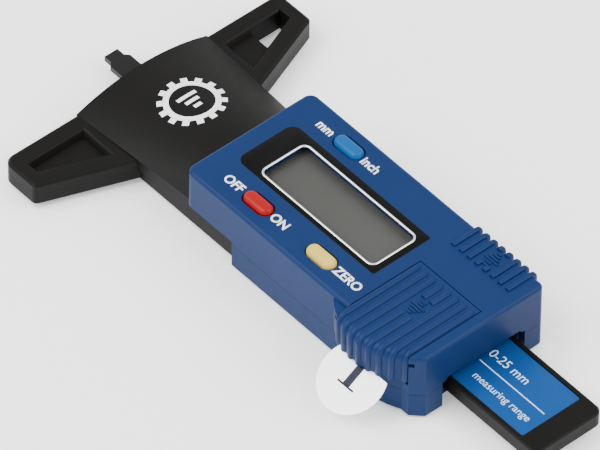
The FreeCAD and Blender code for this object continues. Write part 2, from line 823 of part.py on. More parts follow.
def make_screws(label, places, seat_level, tip_level):
    """A group of slotted screws that all point upwards, from their seats to their tips."""
    piece = Piece(label)
    heads = circles(piece.outline(seat_level), places, "screw_head_width")
    piece.pad(heads, "screw_head_height")
    shanks = circles(piece.outline(f"{seat_level} + screw_head_height"), places, "screw_width")
    piece.pad(shanks, f"{tip_level} - ({seat_level} + screw_head_height)")
    slots = piece.outline(seat_level)
    for x, y in places:
        slots.rectangle(
            f"{x} - screw_head_width / 4", f"{x} + screw_head_width / 4",
            f"{y} - screw_slot_width / 2", f"{y} + screw_slot_width / 2")
    piece.pocket(slots, "screw_slot_depth", reverse=True)


def housing_inside(piece, level, front):
    """Draw the inner plan of the housing, one wall inside its outer plan."""
    return piece.outline(level).rectangle(
        f"{front} + housing_wall", "housing_rear - housing_wall",
        "housing_wall - housing_half", "housing_half - housing_wall")


def belly_bulge(piece, level, radius, inset):
    """Draw the low bulge round the battery, from a chord that lies inside the side wall."""
    return piece.outline(level).segment(
        "bulge_middle", "-belly_bulge_centre", radius, f"{inset} - housing_half")


def make_housing_bottom():
    """Lower blue tray behind the step, with the open rear slot."""
    piece = Piece("housing_bottom")
    plan = piece.outline().rectangle("belly_front", "housing_rear", "-housing_half", "housing_half")
    piece.pad(plan, "housing_split")
    piece.chamfer(piece.edges("z", x="housing_rear", y="-housing_half"), "rear_cut")
    piece.fillet(piece.edges("z", x="housing_rear", y="housing_half"), "rear_corner")
    piece.pad(belly_bulge(piece, "0", "belly_bulge_radius", "housing_wall / 2"), "housing_split")
    piece.chamfer(piece.edges(z="0"), "belly_edge")
    inside = housing_inside(piece, "housing_floor", "belly_front")
    piece.pocket(inside, "housing_split", reverse=True)
    pouch = belly_bulge(
        piece, "housing_floor", "belly_bulge_radius - housing_wall", "housing_wall + pouch_inset")
    piece.pocket(pouch, "housing_split", reverse=True)
    bosses = circles(piece.outline("housing_floor - boss_root"), case_screw_places(), "boss_width")
    piece.pad(bosses, "housing_split - housing_floor + boss_root")
    screw_holes(piece, "0", case_screw_places())
    notch = piece.outline("housing_floor").rectangle(
        "belly_front - overshoot", "belly_front + housing_wall + overshoot",
        "channel_low_side - channel_wall - joint_gap", "channel_high_side + channel_wall + joint_gap")
    piece.pocket(notch, "housing_split", reverse=True)
    board_path = piece.outline("board_underside - board_lift").rectangle(
        "belly_front - overshoot", "belly_front + housing_wall + overshoot",
        "-board_half - belly_gap", "board_half + belly_gap")
    piece.pocket(board_path, "housing_split", reverse=True)
    post = circles(piece.outline("housing_floor - boss_root"), board_screw_places()[2:], "board_post_width")
    piece.pad(post, "board_underside - housing_floor + boss_root")
    pilot = circles(piece.outline("board_underside"), board_screw_places()[2:], "board_screw_width")
    piece.pocket(pilot, "board_screw_bite + pilot_spare")
    slot = piece.outline("-overshoot").rectangle(
        "housing_rear - housing_wall - overshoot", "housing_rear + overshoot",
        "slot_low_side", "slot_high_side")
    piece.pocket(slot, "housing_split + 2 * overshoot", reverse=True)


def make_housing_top():
    """Upper blue shell with display opening, button holes, door bay and right ribs."""
    piece = Piece("housing_top")
    shape_outer_shell(piece)
    shape_right_ribs(piece)
    hollow_shell(piece)
    cut_door_bay(piece)
    add_screw_bosses(piece)
    cut_display_seat(piece)
    cut_rear_slot(piece)


def shape_outer_shell(piece):
    """Pad the outer block of the upper shell, round its corners and add the bulge."""
    plan = piece.outline("housing_split").rectangle(
        "housing_front", "housing_rear", "-housing_half", "housing_half")
    piece.pad(plan, "housing_height - housing_split")
    piece.fillet(piece.edges("z", x="housing_front"), "housing_corner")
    piece.chamfer(piece.edges("z", x="housing_rear", y="-housing_half"), "rear_cut")
    piece.fillet(piece.edges("z", x="housing_rear", y="housing_half"), "rear_corner")
    piece.fillet(piece.edges(z="housing_height"), "housing_edge")
    low_bulge = belly_bulge(piece, "housing_split", "belly_bulge_radius", "housing_wall / 2")
    piece.pad(low_bulge, "door_skirt_end - housing_split")
    high_bulge = piece.outline("door_skirt_end").segment(
        "bulge_middle", "-bulge_centre", "bulge_radius", "housing_wall / 2 - housing_half")
    piece.pad(high_bulge, "housing_height - housing_edge - door_skirt_end")


def shape_right_ribs(piece):
    """Add the grip ribs on the right: bars on the top that run down over the side."""
    bars = piece.outline("housing_ceiling")
    wraps = piece.outline("right_rib_end")
    for index in range(RIB_COUNT):
        low = f"rib_first + {index} * rib_pitch - rib_width / 2"
        high = f"rib_first + {index} * rib_pitch + rib_width / 2"
        bars.rectangle(low, high, "housing_half - right_rib_length", "right_rib_side")
        wraps.rectangle(low, high, "housing_half - housing_wall / 2", "right_rib_side")
    piece.pad(bars, "housing_wall + rib_height")
    piece.pad(wraps, "housing_ceiling - right_rib_end")
    tips = piece.edges("x", y="right_rib_side", z="housing_height + rib_height")
    piece.fillet(tips, "right_rib_bend")
    piece.fillet(piece.edges("y", z="housing_height + rib_height"), "rib_round")
    clear_arrow_field(piece, "housing_half - right_arrow_inset - arrow_length")


def clear_arrow_field(piece, low_side):
    """Interrupt the grip ribs where a moulded arrow lies."""
    field = piece.outline("housing_height").rectangle(
        "arrow_front", "arrow_rear", low_side, f"{low_side} + arrow_length")
    piece.pocket(field, "rib_height + overshoot", reverse=True)


def hollow_shell(piece):
    """Hollow the upper shell, one wall thick."""
    inside = housing_inside(piece, "housing_split", "housing_front")
    piece.pocket(inside, "housing_ceiling - housing_split", reverse=True)
    pouch = belly_bulge(
        piece, "housing_split", "belly_bulge_radius - housing_wall", "housing_wall + pouch_inset")
    piece.pocket(pouch, "bay_sill - housing_split + overshoot", reverse=True)


def cut_door_bay(piece):
    """Cut the bay of the battery door and the grooves that its flanges slide in."""
    outside = "-housing_half - bulge_reach - overshoot"
    grooves = piece.outline("housing_ceiling - door_flange_drop - door_gap").rectangle(
        "door_front - door_flange - door_gap", "door_rear + door_flange",
        outside, "2 * housing_wall - housing_half")
    piece.pocket(grooves, "door_flange_drop + door_gap", reverse=True)
    bay = piece.outline("bay_sill").rectangle("door_front", "door_rear", outside, "door_inner")
    piece.pocket(bay, "housing_height", reverse=True)


def add_screw_bosses(piece):
    """Add the screw bosses inside the upper shell and drill them."""
    places = case_screw_places()
    tall = circles(piece.outline("housing_split"), places[:2], "boss_width")
    piece.pad(tall, "housing_ceiling - housing_split + boss_root")
    short = circles(piece.outline("housing_split"), places[2:], "boss_width")
    piece.pad(short, "housing_ceiling - door_flange_drop - 2 * door_gap - housing_split")
    neck = circles(piece.outline("tongue_top"), neck_screw_places(), "boss_width - boss_root")
    piece.pad(neck, "housing_ceiling - tongue_top + boss_root")
    pilots = circles(piece.outline("tongue_top - overshoot"), neck_screw_places(), "screw_width")
    piece.pocket(pilots, "neck_screw_bite + pilot_spare + overshoot", reverse=True)
    pilots = circles(piece.outline("housing_split - overshoot"), places, "screw_width")
    piece.pocket(pilots, "case_screw_bite + pilot_spare + overshoot", reverse=True)


def cut_display_seat(piece):
    """Cut the view opening, the seats of the window and the bezel, and the button holes."""
    opening = piece.outline("housing_ceiling - overshoot").rectangle(
        "view_front", "view_rear", "-view_half", "view_half")
    piece.pocket(opening, "housing_wall + 2 * overshoot", reverse=True)
    ledge = piece.outline("window_floor").rectangle(
        "view_front - window_lip", "view_rear + window_lip",
        "-view_half - window_side_lip", "view_half + window_side_lip")
    piece.pocket(ledge, "housing_wall", reverse=True)
    seat = bezel_plan(piece)
    piece.pocket(seat, "housing_wall", reverse=True)
    round_bezel_corners(piece)
    holes = piece.outline("housing_ceiling - overshoot")
    for _, x, y in button_places():
        holes.capsule(x, y, "button_length + 2 * button_gap", "button_width + 2 * button_gap")
    piece.pocket(holes, "housing_wall + 2 * overshoot", reverse=True)


def cut_rear_slot(piece):
    """Cut the slot that the beam leaves through, with bevelled upper corners."""
    slot = piece.outline("housing_rear - housing_wall - overshoot", "YZ_Plane").polygon([
        ("slot_low_side", "housing_split - overshoot"),
        ("slot_high_side", "housing_split - overshoot"),
        ("slot_high_side", "slot_top - slot_cut"),
        ("slot_high_side - slot_cut", "slot_top"),
        ("slot_low_side + slot_cut", "slot_top"),
        ("slot_low_side", "slot_top - slot_cut"),
    ])
    piece.pocket(slot, "housing_wall + 2 * overshoot", reverse=True)


def make_buttons():
    """Three capsule buttons, each with a retaining flange and a stem."""
    for label, x, y in button_places():
        piece = Piece(label)
        flange_top = "housing_ceiling - button_flange_drop"
        cap = piece.outline(flange_top).capsule(x, y, "button_length", "button_width")
        piece.pad(cap, "housing_wall + button_flange_drop + button_rise")
        piece.fillet(piece.edges(z="housing_height + button_rise"), "button_round")
        flange = piece.outline(f"{flange_top} - button_flange_height")
        flange.capsule(x, y, "button_length + 2 * button_flange", "button_width + 2 * button_flange")
        piece.pad(flange, "button_flange_height")
        stem_foot = "dome_top + button_press + button_rest_gap"
        stem = piece.outline(stem_foot).circle(x, y, "button_stem")
        piece.pad(stem, f"{flange_top} - ({stem_foot})")


def make_beam():
    """Flat slider whose tail leaves the rear slot and whose head holds the probe."""
    piece = Piece("beam")
    plan = piece.outline("beam_underside").rectangle(
        "beam_front", "beam_rear", "beam_low_side", "beam_high_side")
    piece.pad(plan, "beam_thickness")
    piece.fillet(piece.edges("z", x="beam_rear"), "beam_corner")
    piece.fillet(piece.edges("z", x="beam_front"), "beam_nose_corner")
    piece.chamfer(piece.edges(z="beam_top"), "beam_edge")
    bed = piece.outline("beam_bed").rectangle(
        "beam_front + beam_nose", "label_rear", "beam_low_side + beam_rim", "beam_high_side - beam_rim")
    piece.pocket(bed, "beam_recess + overshoot", reverse=True)
    seat = piece.outline("beam_underside").rectangle(
        "beam_front - overshoot", "probe_root", "probe_low_side", "probe_high_side")
    piece.pocket(seat, "probe_thickness", reverse=True)
    pin_reach = "(stop_pin_width / 2 + slide_gap)"
    groove = piece.outline("beam_underside").rectangle(
        f"stop_pin_place - travel_in - {pin_reach}", f"stop_pin_place + travel_out + {pin_reach}",
        f"stop_pin_side - {pin_reach}", f"stop_pin_side + {pin_reach}")
    piece.pocket(groove, "stop_pin_reach + slide_gap", reverse=True)
    rivet_holes = circles(piece.outline("beam_underside"), rivet_places(), "rivet_width")
    piece.pocket(rivet_holes, "beam_thickness", reverse=True)


def make_probe():
    """Narrow blade with a stepped tip, riveted under the head of the beam."""
    piece = Piece("depth_probe")
    tip_low, tip_high = "beam_offset - probe_tip_width / 2", "beam_offset + probe_tip_width / 2"
    plan = piece.outline("beam_underside").polygon([
        ("-travel_in", tip_low),
        ("probe_tip_length - travel_in", tip_low),
        ("probe_shoulder", "probe_low_side"),
        ("probe_root", "probe_low_side"),
        ("probe_root", "probe_high_side"),
        ("probe_shoulder", "probe_high_side"),
        ("probe_tip_length - travel_in", tip_high),
        ("-travel_in", tip_high),
    ])
    piece.pad(plan, "probe_thickness")
    holes = circles(piece.outline("beam_underside"), rivet_places(), "rivet_width")
    piece.pocket(holes, "probe_thickness", reverse=True)
    rivets = Piece("probe_rivets")
    pins = circles(rivets.outline("beam_underside"), rivet_places(), "rivet_width")
    rivets.pad(pins, "beam_bed - beam_underside")


def make_beam_faces():
    """Copper scale strip and blue label, both in the beam's shallow bed."""
    for label, front, rear in (
        ("scale_strip", "probe_root + beam_nose / 2", "label_front - belly_gap"),
        ("beam_label", "label_front", "label_rear - strip_gap"),
    ):
        piece = Piece(label)
        plan = piece.outline("beam_bed").rectangle(
            front, rear, "beam_low_side + beam_rim + strip_gap", "beam_high_side - beam_rim - strip_gap")
        piece.pad(plan, "strip_thickness")


def make_guide_channel():
    """Channel under the board that the beam slides in, with its gib and stop pin."""
    piece = Piece("guide_channel")
    plan = piece.outline("housing_floor").rectangle(
        "channel_front", "channel_rear",
        "channel_low_side - channel_wall", "channel_high_side + channel_wall")
    piece.pad(plan, "channel_top - housing_floor")
    bore = piece.outline("channel_floor").rectangle(
        "channel_front - overshoot", "channel_rear + overshoot", "channel_low_side", "channel_high_side")
    piece.pocket(bore, "channel_top", reverse=True)
    gib_foot = "channel_floor + gib_inset"
    gib_outer = "beam_high_side + gib_gap + gib_thickness"
    gib_seat = piece.outline(gib_foot).rectangle(
        "stop_pin_place", "gib_end", "channel_high_side - side_gap", gib_outer)
    piece.pocket(gib_seat, "channel_top", reverse=True)
    pin_hole = piece.outline("housing_floor").circle("stop_pin_place", "stop_pin_side", "stop_pin_width")
    piece.pocket(pin_hole, "channel_floor", reverse=True)
    gib = Piece("gib_strip")
    plan = gib.outline(gib_foot).rectangle("stop_pin_place", "gib_end", "beam_high_side + gib_gap", gib_outer)
    gib.pad(plan, "beam_top - gib_inset - (channel_floor + gib_inset)")
    pin = Piece("stop_pin")
    plan = pin.outline("housing_floor").circle("stop_pin_place", "stop_pin_side", "stop_pin_width")
    pin.pad(plan, "beam_underside + stop_pin_reach - housing_floor")


def make_board():
    """Circuit board with its sensor pads, controller and button domes."""
    piece = Piece("circuit_board")
    plan = piece.outline("board_underside").rectangle(
        "board_front", "board_rear", "-board_half", "board_half")
    piece.pad(plan, "board_thickness")
    passages = circles(
        piece.outline("board_underside"), through_case_screw_places(), "boss_width + screw_seat_gap")
    piece.pocket(passages, "board_thickness", reverse=True)
    small = circles(piece.outline("board_underside"), board_screw_places(), "board_screw_width + screw_fit")
    piece.pocket(small, "board_thickness", reverse=True)
    pads = Piece("sensor_pads")
    plan = pads.outline("board_underside")
    for index in range(PAD_COUNT):
        start = f"(board_front + pad_first + {index} * pad_pitch)"
        plan.rectangle(
            start, f"{start} + pad_length", "beam_offset - pad_width / 2", "beam_offset + pad_width / 2")
    pads.pad(plan, "pad_thickness", reverse=True)
    chip = Piece("controller_chip")
    plan = chip.outline("board_top").rectangle(
        "bezel_rear - chip_setback", "bezel_rear - chip_setback + chip_length",
        "holder_half + button_spacing", "holder_half + button_spacing + chip_length")
    chip.pad(plan, "chip_height")
    domes = Piece("button_domes")
    cans = circles(domes.outline("board_top"), [(x, y) for _, x, y in button_places()], "dome_width")
    domes.pad(cans, "dome_height")
    domes.chamfer(flat_edges(domes, "dome_top", full_circle), "dome_edge")


def make_board_screws():
    """Small screws that hold the board down."""
    piece = Piece("board_screws")
    heads = circles(piece.outline("board_top"), board_screw_places(), "board_screw_head_width")
    piece.pad(heads, "board_screw_head_height")
    shanks = circles(piece.outline("board_top"), board_screw_places(), "board_screw_width")
    piece.pad(shanks, "board_thickness + board_screw_bite", reverse=True)


def make_glass():
    """Display glass, the frame that holds it and the strips that connect it."""
    glass = Piece("lcd_glass")
    plan = glass.outline("glass_base").rectangle("glass_front", "glass_rear", "-glass_half", "glass_half")
    glass.pad(plan, "glass_thickness")
    holder = Piece("lcd_holder")
    plan = holder.outline("board_top").rectangle(
        "glass_front - holder_wall - joint_gap", "glass_rear + holder_wall + joint_gap",
        "-holder_half", "holder_half")
    holder.pad(plan, "glass_top - board_top")
    nest = holder.outline("board_top").rectangle(
        "glass_front - joint_gap", "glass_rear + joint_gap",
        "-glass_half - joint_gap", "glass_half + joint_gap")
    holder.pocket(nest, "glass_top", reverse=True)
    strips = Piece("zebra_connectors")
    plan = strips.outline("board_top")
    near, far = "glass_half - zebra_inset - zebra_width", "glass_half - zebra_inset"
    for low, high in ((f"-({far})", f"-({near})"), (near, far)):
        plan.rectangle("glass_front + zebra_end_gap", "glass_rear - zebra_end_gap", low, high)
    strips.pad(plan, "glass_base - board_top")


def bezel_plan(piece):
    """Draw the rectangle of the display bezel on its seat."""
    return piece.outline("bezel_floor").rectangle("bezel_front", "bezel_rear", "-bezel_left", "bezel_right")


def round_bezel_corners(piece):
    """Round the upright corners of the bezel, or of its seat."""
    for end, radius in (("bezel_front", "bezel_corner"), ("bezel_rear", "bezel_rear_corner")):
        sides = ("-bezel_left", "bezel_right")
        corners = [edge for side in sides for edge in piece.edges("z", x=end, y=side)]
        piece.fillet(corners, radius)


def view_plan(piece, inset):
    """Draw the rectangle of the view opening, or one that lies inside it."""
    return piece.outline("bezel_floor").rectangle(
        f"view_front + {inset}", f"view_rear - {inset}", f"{inset} - view_half", f"view_half - {inset}")


def make_window():
    """Clear window, the black bezel over it and the silver line round the view."""
    window = Piece("display_window")
    plan = window.outline("window_floor").rectangle(
        "view_front - window_lip + joint_gap", "view_rear + window_lip - joint_gap",
        "joint_gap - view_half - window_side_lip", "view_half + window_side_lip - joint_gap")
    window.pad(plan, "window_thickness")
    bezel = Piece("display_bezel")
    bezel.pad(bezel_plan(bezel), "bezel_thickness")
    round_bezel_corners(bezel)
    bezel.pocket(view_plan(bezel, "0"), "housing_wall", reverse=True)
    trim = Piece("bezel_trim")
    trim.pad(view_plan(trim, "0"), "bezel_thickness + trim_height")
    trim.fillet(trim.edges("z"), "trim_corner")
    trim.pocket(view_plan(trim, "trim_width"), "housing_wall", reverse=True)


def make_battery_cup():
    """Cup that holds the cell, open at the side for the pull tab."""
    cup = Piece("battery_holder")
    reach = "cell_width / 2 + cell_gap + cup_wall"
    plan = cup.outline("board_top").rectangle(
        f"cell_middle - ({reach})", f"cell_middle + {reach}",
        "0 - cell_side - cell_width / 2", f"{reach} - cell_side")
    cup.pad(plan, "cell_top - cup_lip - board_top")
    nest = cup.outline("cell_underside - cup_seat")
    nest.circle("cell_middle", "-cell_side", "cell_width + 2 * cell_gap")
    cup.pocket(nest, "cell_height + cup_seat + overshoot", reverse=True)
    well = cup.outline("board_top").circle("cell_middle", "-cell_side", "cell_width - 2 * cup_lip")
    cup.pocket(well, "cell_height", reverse=True)
    film_path = cup.outline("film_level - 2 * film_sill_gap").rectangle(
        "cell_middle - film_width / 2 - film_sill_gap", "cell_middle + film_width / 2 + film_sill_gap",
        "0 - cell_side - cell_width", "0 - cell_side")
    cup.pocket(film_path, "cell_height + cell_lift", reverse=True)
    gate = cup.outline("board_top").rectangle(
        "cell_middle - contact_width / 2 - cup_wall", "cell_middle + contact_width / 2 + cup_wall",
        "0 - cell_side", "cell_width - cell_side")
    cup.pocket(gate, "cell_height + cell_lift", reverse=True)


def make_battery_cell():
    """Button cell, with its smaller pole downwards."""
    cell = Piece("battery_cell")
    can = cell.outline("cell_underside + cell_cap_height").circle("cell_middle", "-cell_side", "cell_width")
    cell.pad(can, "cell_height - cell_cap_height")
    cell.fillet(flat_edges(cell, "cell_top", full_circle), "cell_round")
    pole = cell.outline("cell_underside")
    pole.circle("cell_middle", "-cell_side", "cell_width - 2 * cell_cap_inset")
    cell.pad(pole, "cell_cap_height")


def make_contacts():
    """Bent strip under the cell and upright clip beside it."""
    lower = Piece("contact_spring")
    crest = "film_level - film_gap"
    tail = "film_level - film_gap - spring_tail_drop"
    shape = lower.outline("cell_side - contact_width / 2", "XZ_Plane").polygon([
        ("cell_middle - cell_width * spring_foot_share", "board_top"),
        ("cell_middle + cell_width * spring_root_share", "board_top"),
        ("cell_middle + cell_width * spring_root_share", "board_top + contact_thickness"),
        ("cell_middle - cell_width * spring_root_share", "board_top + contact_thickness"),
        ("cell_middle + cell_width * spring_crest_share", f"{crest} - contact_thickness"),
        ("cell_middle + cell_width * spring_tail_share", f"{tail} - contact_thickness"),
        ("cell_middle + cell_width * spring_tail_share", tail),
        ("cell_middle + cell_width * spring_crest_share", crest),
        ("cell_middle - cell_width * spring_foot_share", "board_top + 2 * contact_thickness"),
    ])
    lower.pad(shape, "contact_width")
    upper = Piece("contact_clip")
    rim = "(cell_width / 2 + film_gap - cell_side)"
    shape = upper.outline("cell_middle - contact_width / 2", "YZ_Plane").polygon([
        (rim, "board_top"),
        (f"{rim} + cell_width * clip_foot_share", "board_top"),
        (f"{rim} + cell_width * clip_foot_share", "board_top + contact_thickness"),
        (f"{rim} + contact_thickness", "board_top + contact_thickness"),
        (f"{rim} + contact_thickness", "cell_top - cell_cap_height"),
        (rim, "cell_top - cell_cap_height"),
    ])
    upper.pad(shape, "contact_width")


def make_battery_door():
    """Ribbed cover that slides off sideways with its skirt."""
    piece = Piece("battery_door")
    front, rear, inner = "(door_front + door_gap)", "(door_rear - door_gap)", "(door_inner - door_gap)"
    overlap = "2 * housing_wall - overshoot - housing_half"
    plate = piece.outline("housing_ceiling").rectangle(front, rear, overlap, inner)
    piece.pad(plate, "housing_wall")
    bulge = piece.outline("door_skirt_end").segment(
        "bulge_middle", "-bulge_centre", "bulge_radius", f"{overlap} + door_gap / 2")
    piece.pad(bulge, "housing_height - door_skirt_end")
    for low, high in ((f"{front} - housing_half", front), (rear, f"{rear} + housing_half")):
        side = piece.outline("door_skirt_end - overshoot").rectangle(
            low, high, "-2 * housing_half", f"{inner} + overshoot")
        piece.pocket(side, "housing_height", reverse=True)
    piece.fillet(flat_edges(piece, "housing_height", round_edge), "bulge_round")
    hollow = piece.outline("door_skirt_end - overshoot").segment(
        "bulge_middle", "-bulge_centre", "skirt_inner_radius", "2.5 * housing_wall - housing_half")
    piece.pocket(hollow, "housing_ceiling - door_skirt_end + overshoot", reverse=True)
    flange_ends = (f"{overlap} + door_gap", f"{inner} - overshoot")
    flange_level = "housing_ceiling - door_flange_drop"
    for outer_low, outer_high, web_low, web_high in (
        (f"{front} - door_flange", f"{front} + overshoot", front, f"{front} + overshoot"),
        (f"{rear} - overshoot", f"{rear} + door_flange", f"{rear} - overshoot", rear),
    ):
        flange = piece.outline(flange_level).rectangle(outer_low, outer_high, *flange_ends)
        piece.pad(flange, "door_flange_height")
        web = piece.outline(flange_level).rectangle(web_low, web_high, *flange_ends)
        piece.pad(web, "door_flange_drop + joint_gap")
    add_door_ribs(piece, inner)


def add_door_ribs(piece, inner):
    """Add the grip ribs of the door, which run down over the bulge."""
    bars = piece.outline("housing_height - rib_height")
    wraps = piece.outline("rib_skirt_end")
    for index in range(RIB_COUNT):
        middle = f"(rib_first + {index} * rib_pitch)"
        outside = f"(-bulge_centre - sqrt(bulge_radius^2 - ({middle} - bulge_middle)^2))"
        low, high = f"{middle} - rib_width / 2", f"{middle} + rib_width / 2"
        bars.rectangle(low, high, f"{outside} - rib_height", f"{inner} - rib_inset")
        wraps.rectangle(low, high, f"{outside} - rib_height", f"{outside} + housing_wall / 2")
    piece.pad(bars, "2 * rib_height")
    piece.pad(wraps, "housing_height - rib_skirt_end")
    limit = -value("housing_half") + value("2 * housing_wall")
    tips = piece.edges("x", z="housing_height + rib_height", keep=lambda edge: edge.BoundBox.YMax < limit)
    piece.fillet(tips, "bulge_round + rib_height")
    clear_arrow_field(piece, f"{inner} - door_arrow_inset - arrow_length")


def make_pull_tab():
    """Insulating film under the cell, whose round end hangs out below the door."""
    piece = Piece("pull_tab")
    tongue = piece.outline("film_level").rectangle(
        "cell_middle - film_width / 2", "cell_middle + film_width / 2",
        "-tab_bend - film_sill_gap", "film_inner_end - cell_side")
    piece.pad(tongue, "film_thickness")
    tab = piece.outline("film_level")
    tab.sketch.setExpression(".AttachmentOffset.Base.y", bind("-tab_bend"))
    tab.sketch.setExpression(".AttachmentOffset.Rotation.Axis.x", "1")
    tab.sketch.setExpression(".AttachmentOffset.Rotation.Axis.z", "0")
    tab.sketch.setExpression(".AttachmentOffset.Rotation.Angle", bind("tab_drop"))
    tab.segment("cell_middle", "-tab_reach", "tab_radius", "0")
    piece.pad(tab, "film_thickness")


def write_parts():
    """Check every object, then write each sub-part to its own file."""
    document.recompute()
    for item in document.Objects:
        if "Invalid" in item.State or "Error" in item.State:
            raise RuntimeError(f"{item.Name} is not valid")
    os.makedirs("parts", exist_ok=True)
    for body in document.findObjects("PartDesign::Body"):
        shape = body.Shape
        if shape.isNull() or not shape.isValid() or not shape.Solids:
            raise RuntimeError(f"{body.Label} has no valid solid")
        shape.exportStep(os.path.join("parts", f"{body.Label}.step"))


FOOT_SEAT = "foot_underside + screw_sink"
make_foot_lower_shell()
make_foot_upper_shell()
make_screws("foot_screws", foot_screw_places(), FOOT_SEAT, "foot_split + foot_screw_bite")
make_screws("neck_screws", neck_screw_places(), FOOT_SEAT, "tongue_top + neck_screw_bite")
make_screws("case_screws", case_screw_places(), "screw_sink", "housing_split + case_screw_bite")
make_housing_bottom()
make_housing_top()
make_guide_channel()
make_beam()
make_probe()
make_beam_faces()
make_board()
make_board_screws()
make_glass()
make_window()
make_buttons()
make_battery_cup()
make_battery_cell()
make_contacts()
make_battery_door()
make_pull_tab()
write_parts()
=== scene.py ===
"""Looks of a digital tyre tread depth gauge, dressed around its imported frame.

Every place comes from the frame's own boxes. Sizes that only the looks need are fields of
the class that builds the sub-assembly, in millimetres.
"""

import logging
import math
from contextlib import contextmanager
from dataclasses import dataclass
from enum import Enum
from typing import Any, Callable, Iterator, Sequence

import bpy
from mathutils import Matrix, Vector


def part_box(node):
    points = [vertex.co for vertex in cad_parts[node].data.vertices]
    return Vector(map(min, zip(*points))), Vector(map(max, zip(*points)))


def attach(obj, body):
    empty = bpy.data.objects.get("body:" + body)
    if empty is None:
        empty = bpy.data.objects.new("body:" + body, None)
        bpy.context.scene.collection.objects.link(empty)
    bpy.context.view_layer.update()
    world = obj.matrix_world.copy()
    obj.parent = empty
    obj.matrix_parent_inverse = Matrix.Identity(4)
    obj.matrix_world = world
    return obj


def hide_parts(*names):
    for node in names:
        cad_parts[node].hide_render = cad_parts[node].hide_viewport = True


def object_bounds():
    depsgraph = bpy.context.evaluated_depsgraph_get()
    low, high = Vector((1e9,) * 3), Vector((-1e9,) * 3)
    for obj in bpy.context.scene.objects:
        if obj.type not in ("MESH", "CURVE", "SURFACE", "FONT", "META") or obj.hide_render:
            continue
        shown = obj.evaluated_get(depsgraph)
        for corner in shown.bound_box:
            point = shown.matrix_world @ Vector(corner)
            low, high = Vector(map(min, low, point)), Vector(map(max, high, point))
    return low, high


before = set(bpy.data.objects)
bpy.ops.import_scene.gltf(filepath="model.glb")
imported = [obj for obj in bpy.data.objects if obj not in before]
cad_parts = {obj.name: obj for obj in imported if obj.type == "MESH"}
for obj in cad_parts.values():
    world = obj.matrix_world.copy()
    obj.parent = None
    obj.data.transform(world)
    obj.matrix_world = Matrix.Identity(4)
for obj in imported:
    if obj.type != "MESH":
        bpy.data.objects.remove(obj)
CAD_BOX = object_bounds()

MM = 0.001
NEAR = 1e-6
CORNER_SEGMENTS = 8
EDGE_SEGMENTS = 3
CAPITAL_SHARE = 0.72  # a capital's height as a share of its text size
LOG = logging.getLogger("tread_gauge")

Colour = tuple[float, float, float]


class Body(Enum):
    """The bodies of the frame that pieces ride on."""

    HOUSING = "housing"
    SLIDER = "slider"
    POWER_KEY = "power_key"
    UNIT_KEY = "unit_key"
    ZERO_KEY = "zero_key"
    DOOR = "door"
    FILM = "film"


class Side(Enum):
    """The two sides of the gauge, by the sign of Y."""

    RIGHT = 1
    LEFT = -1


class Align(Enum):
    """Which part of a word stands at its place."""

    START = "LEFT"
    MIDDLE = "CENTER"
    END = "RIGHT"


# ---------------------------------------------------------------- shader tools


class Wire:
    """A shader socket that takes part in arithmetic."""

    def __init__(self, shader: "Shader", socket: Any) -> None:
        """Keep the shader and the output socket."""
        self.shader = shader
        self.socket = socket

    def math(self, operation: str, *operands: Any) -> "Wire":
        """Add one Math node on this wire.

        Args:
            operation: The node's operation.
            operands: The other operands, as numbers or wires.

        Returns:
            The wire of the result.
        """
        values = {index: item for index, item in enumerate((self, *operands))}
        return self.shader.wire("ShaderNodeMath", {"operation": operation}, values)

    def _swapped(self, operation: str, first: Any) -> "Wire":
        """Add a Math node whose first operand is a number."""
        return self.shader.wire("ShaderNodeMath", {"operation": operation}, {0: first, 1: self})

    def __add__(self, other: Any) -> "Wire":
        """Add."""
        return self.math("ADD", other)

    __radd__ = __add__

    def __sub__(self, other: Any) -> "Wire":
        """Subtract."""
        return self.math("SUBTRACT", other)

    def __rsub__(self, other: Any) -> "Wire":
        """Subtract from a number."""
        return self._swapped("SUBTRACT", other)

    def __mul__(self, other: Any) -> "Wire":
        """Multiply."""
        return self.math("MULTIPLY", other)

    __rmul__ = __mul__

    def __truediv__(self, other: Any) -> "Wire":
        """Divide."""
        return self.math("DIVIDE", other)

    def clamp(self) -> "Wire":
        """Hold the value between 0 and 1."""
        return self.shader.wire("ShaderNodeClamp", {}, {"Value": self})

    def between(self, low: float, high: float) -> "Wire":
        """Give 1 where the value lies between two limits, and 0 elsewhere."""
        return self.math("GREATER_THAN", low) * self.math("LESS_THAN", high)


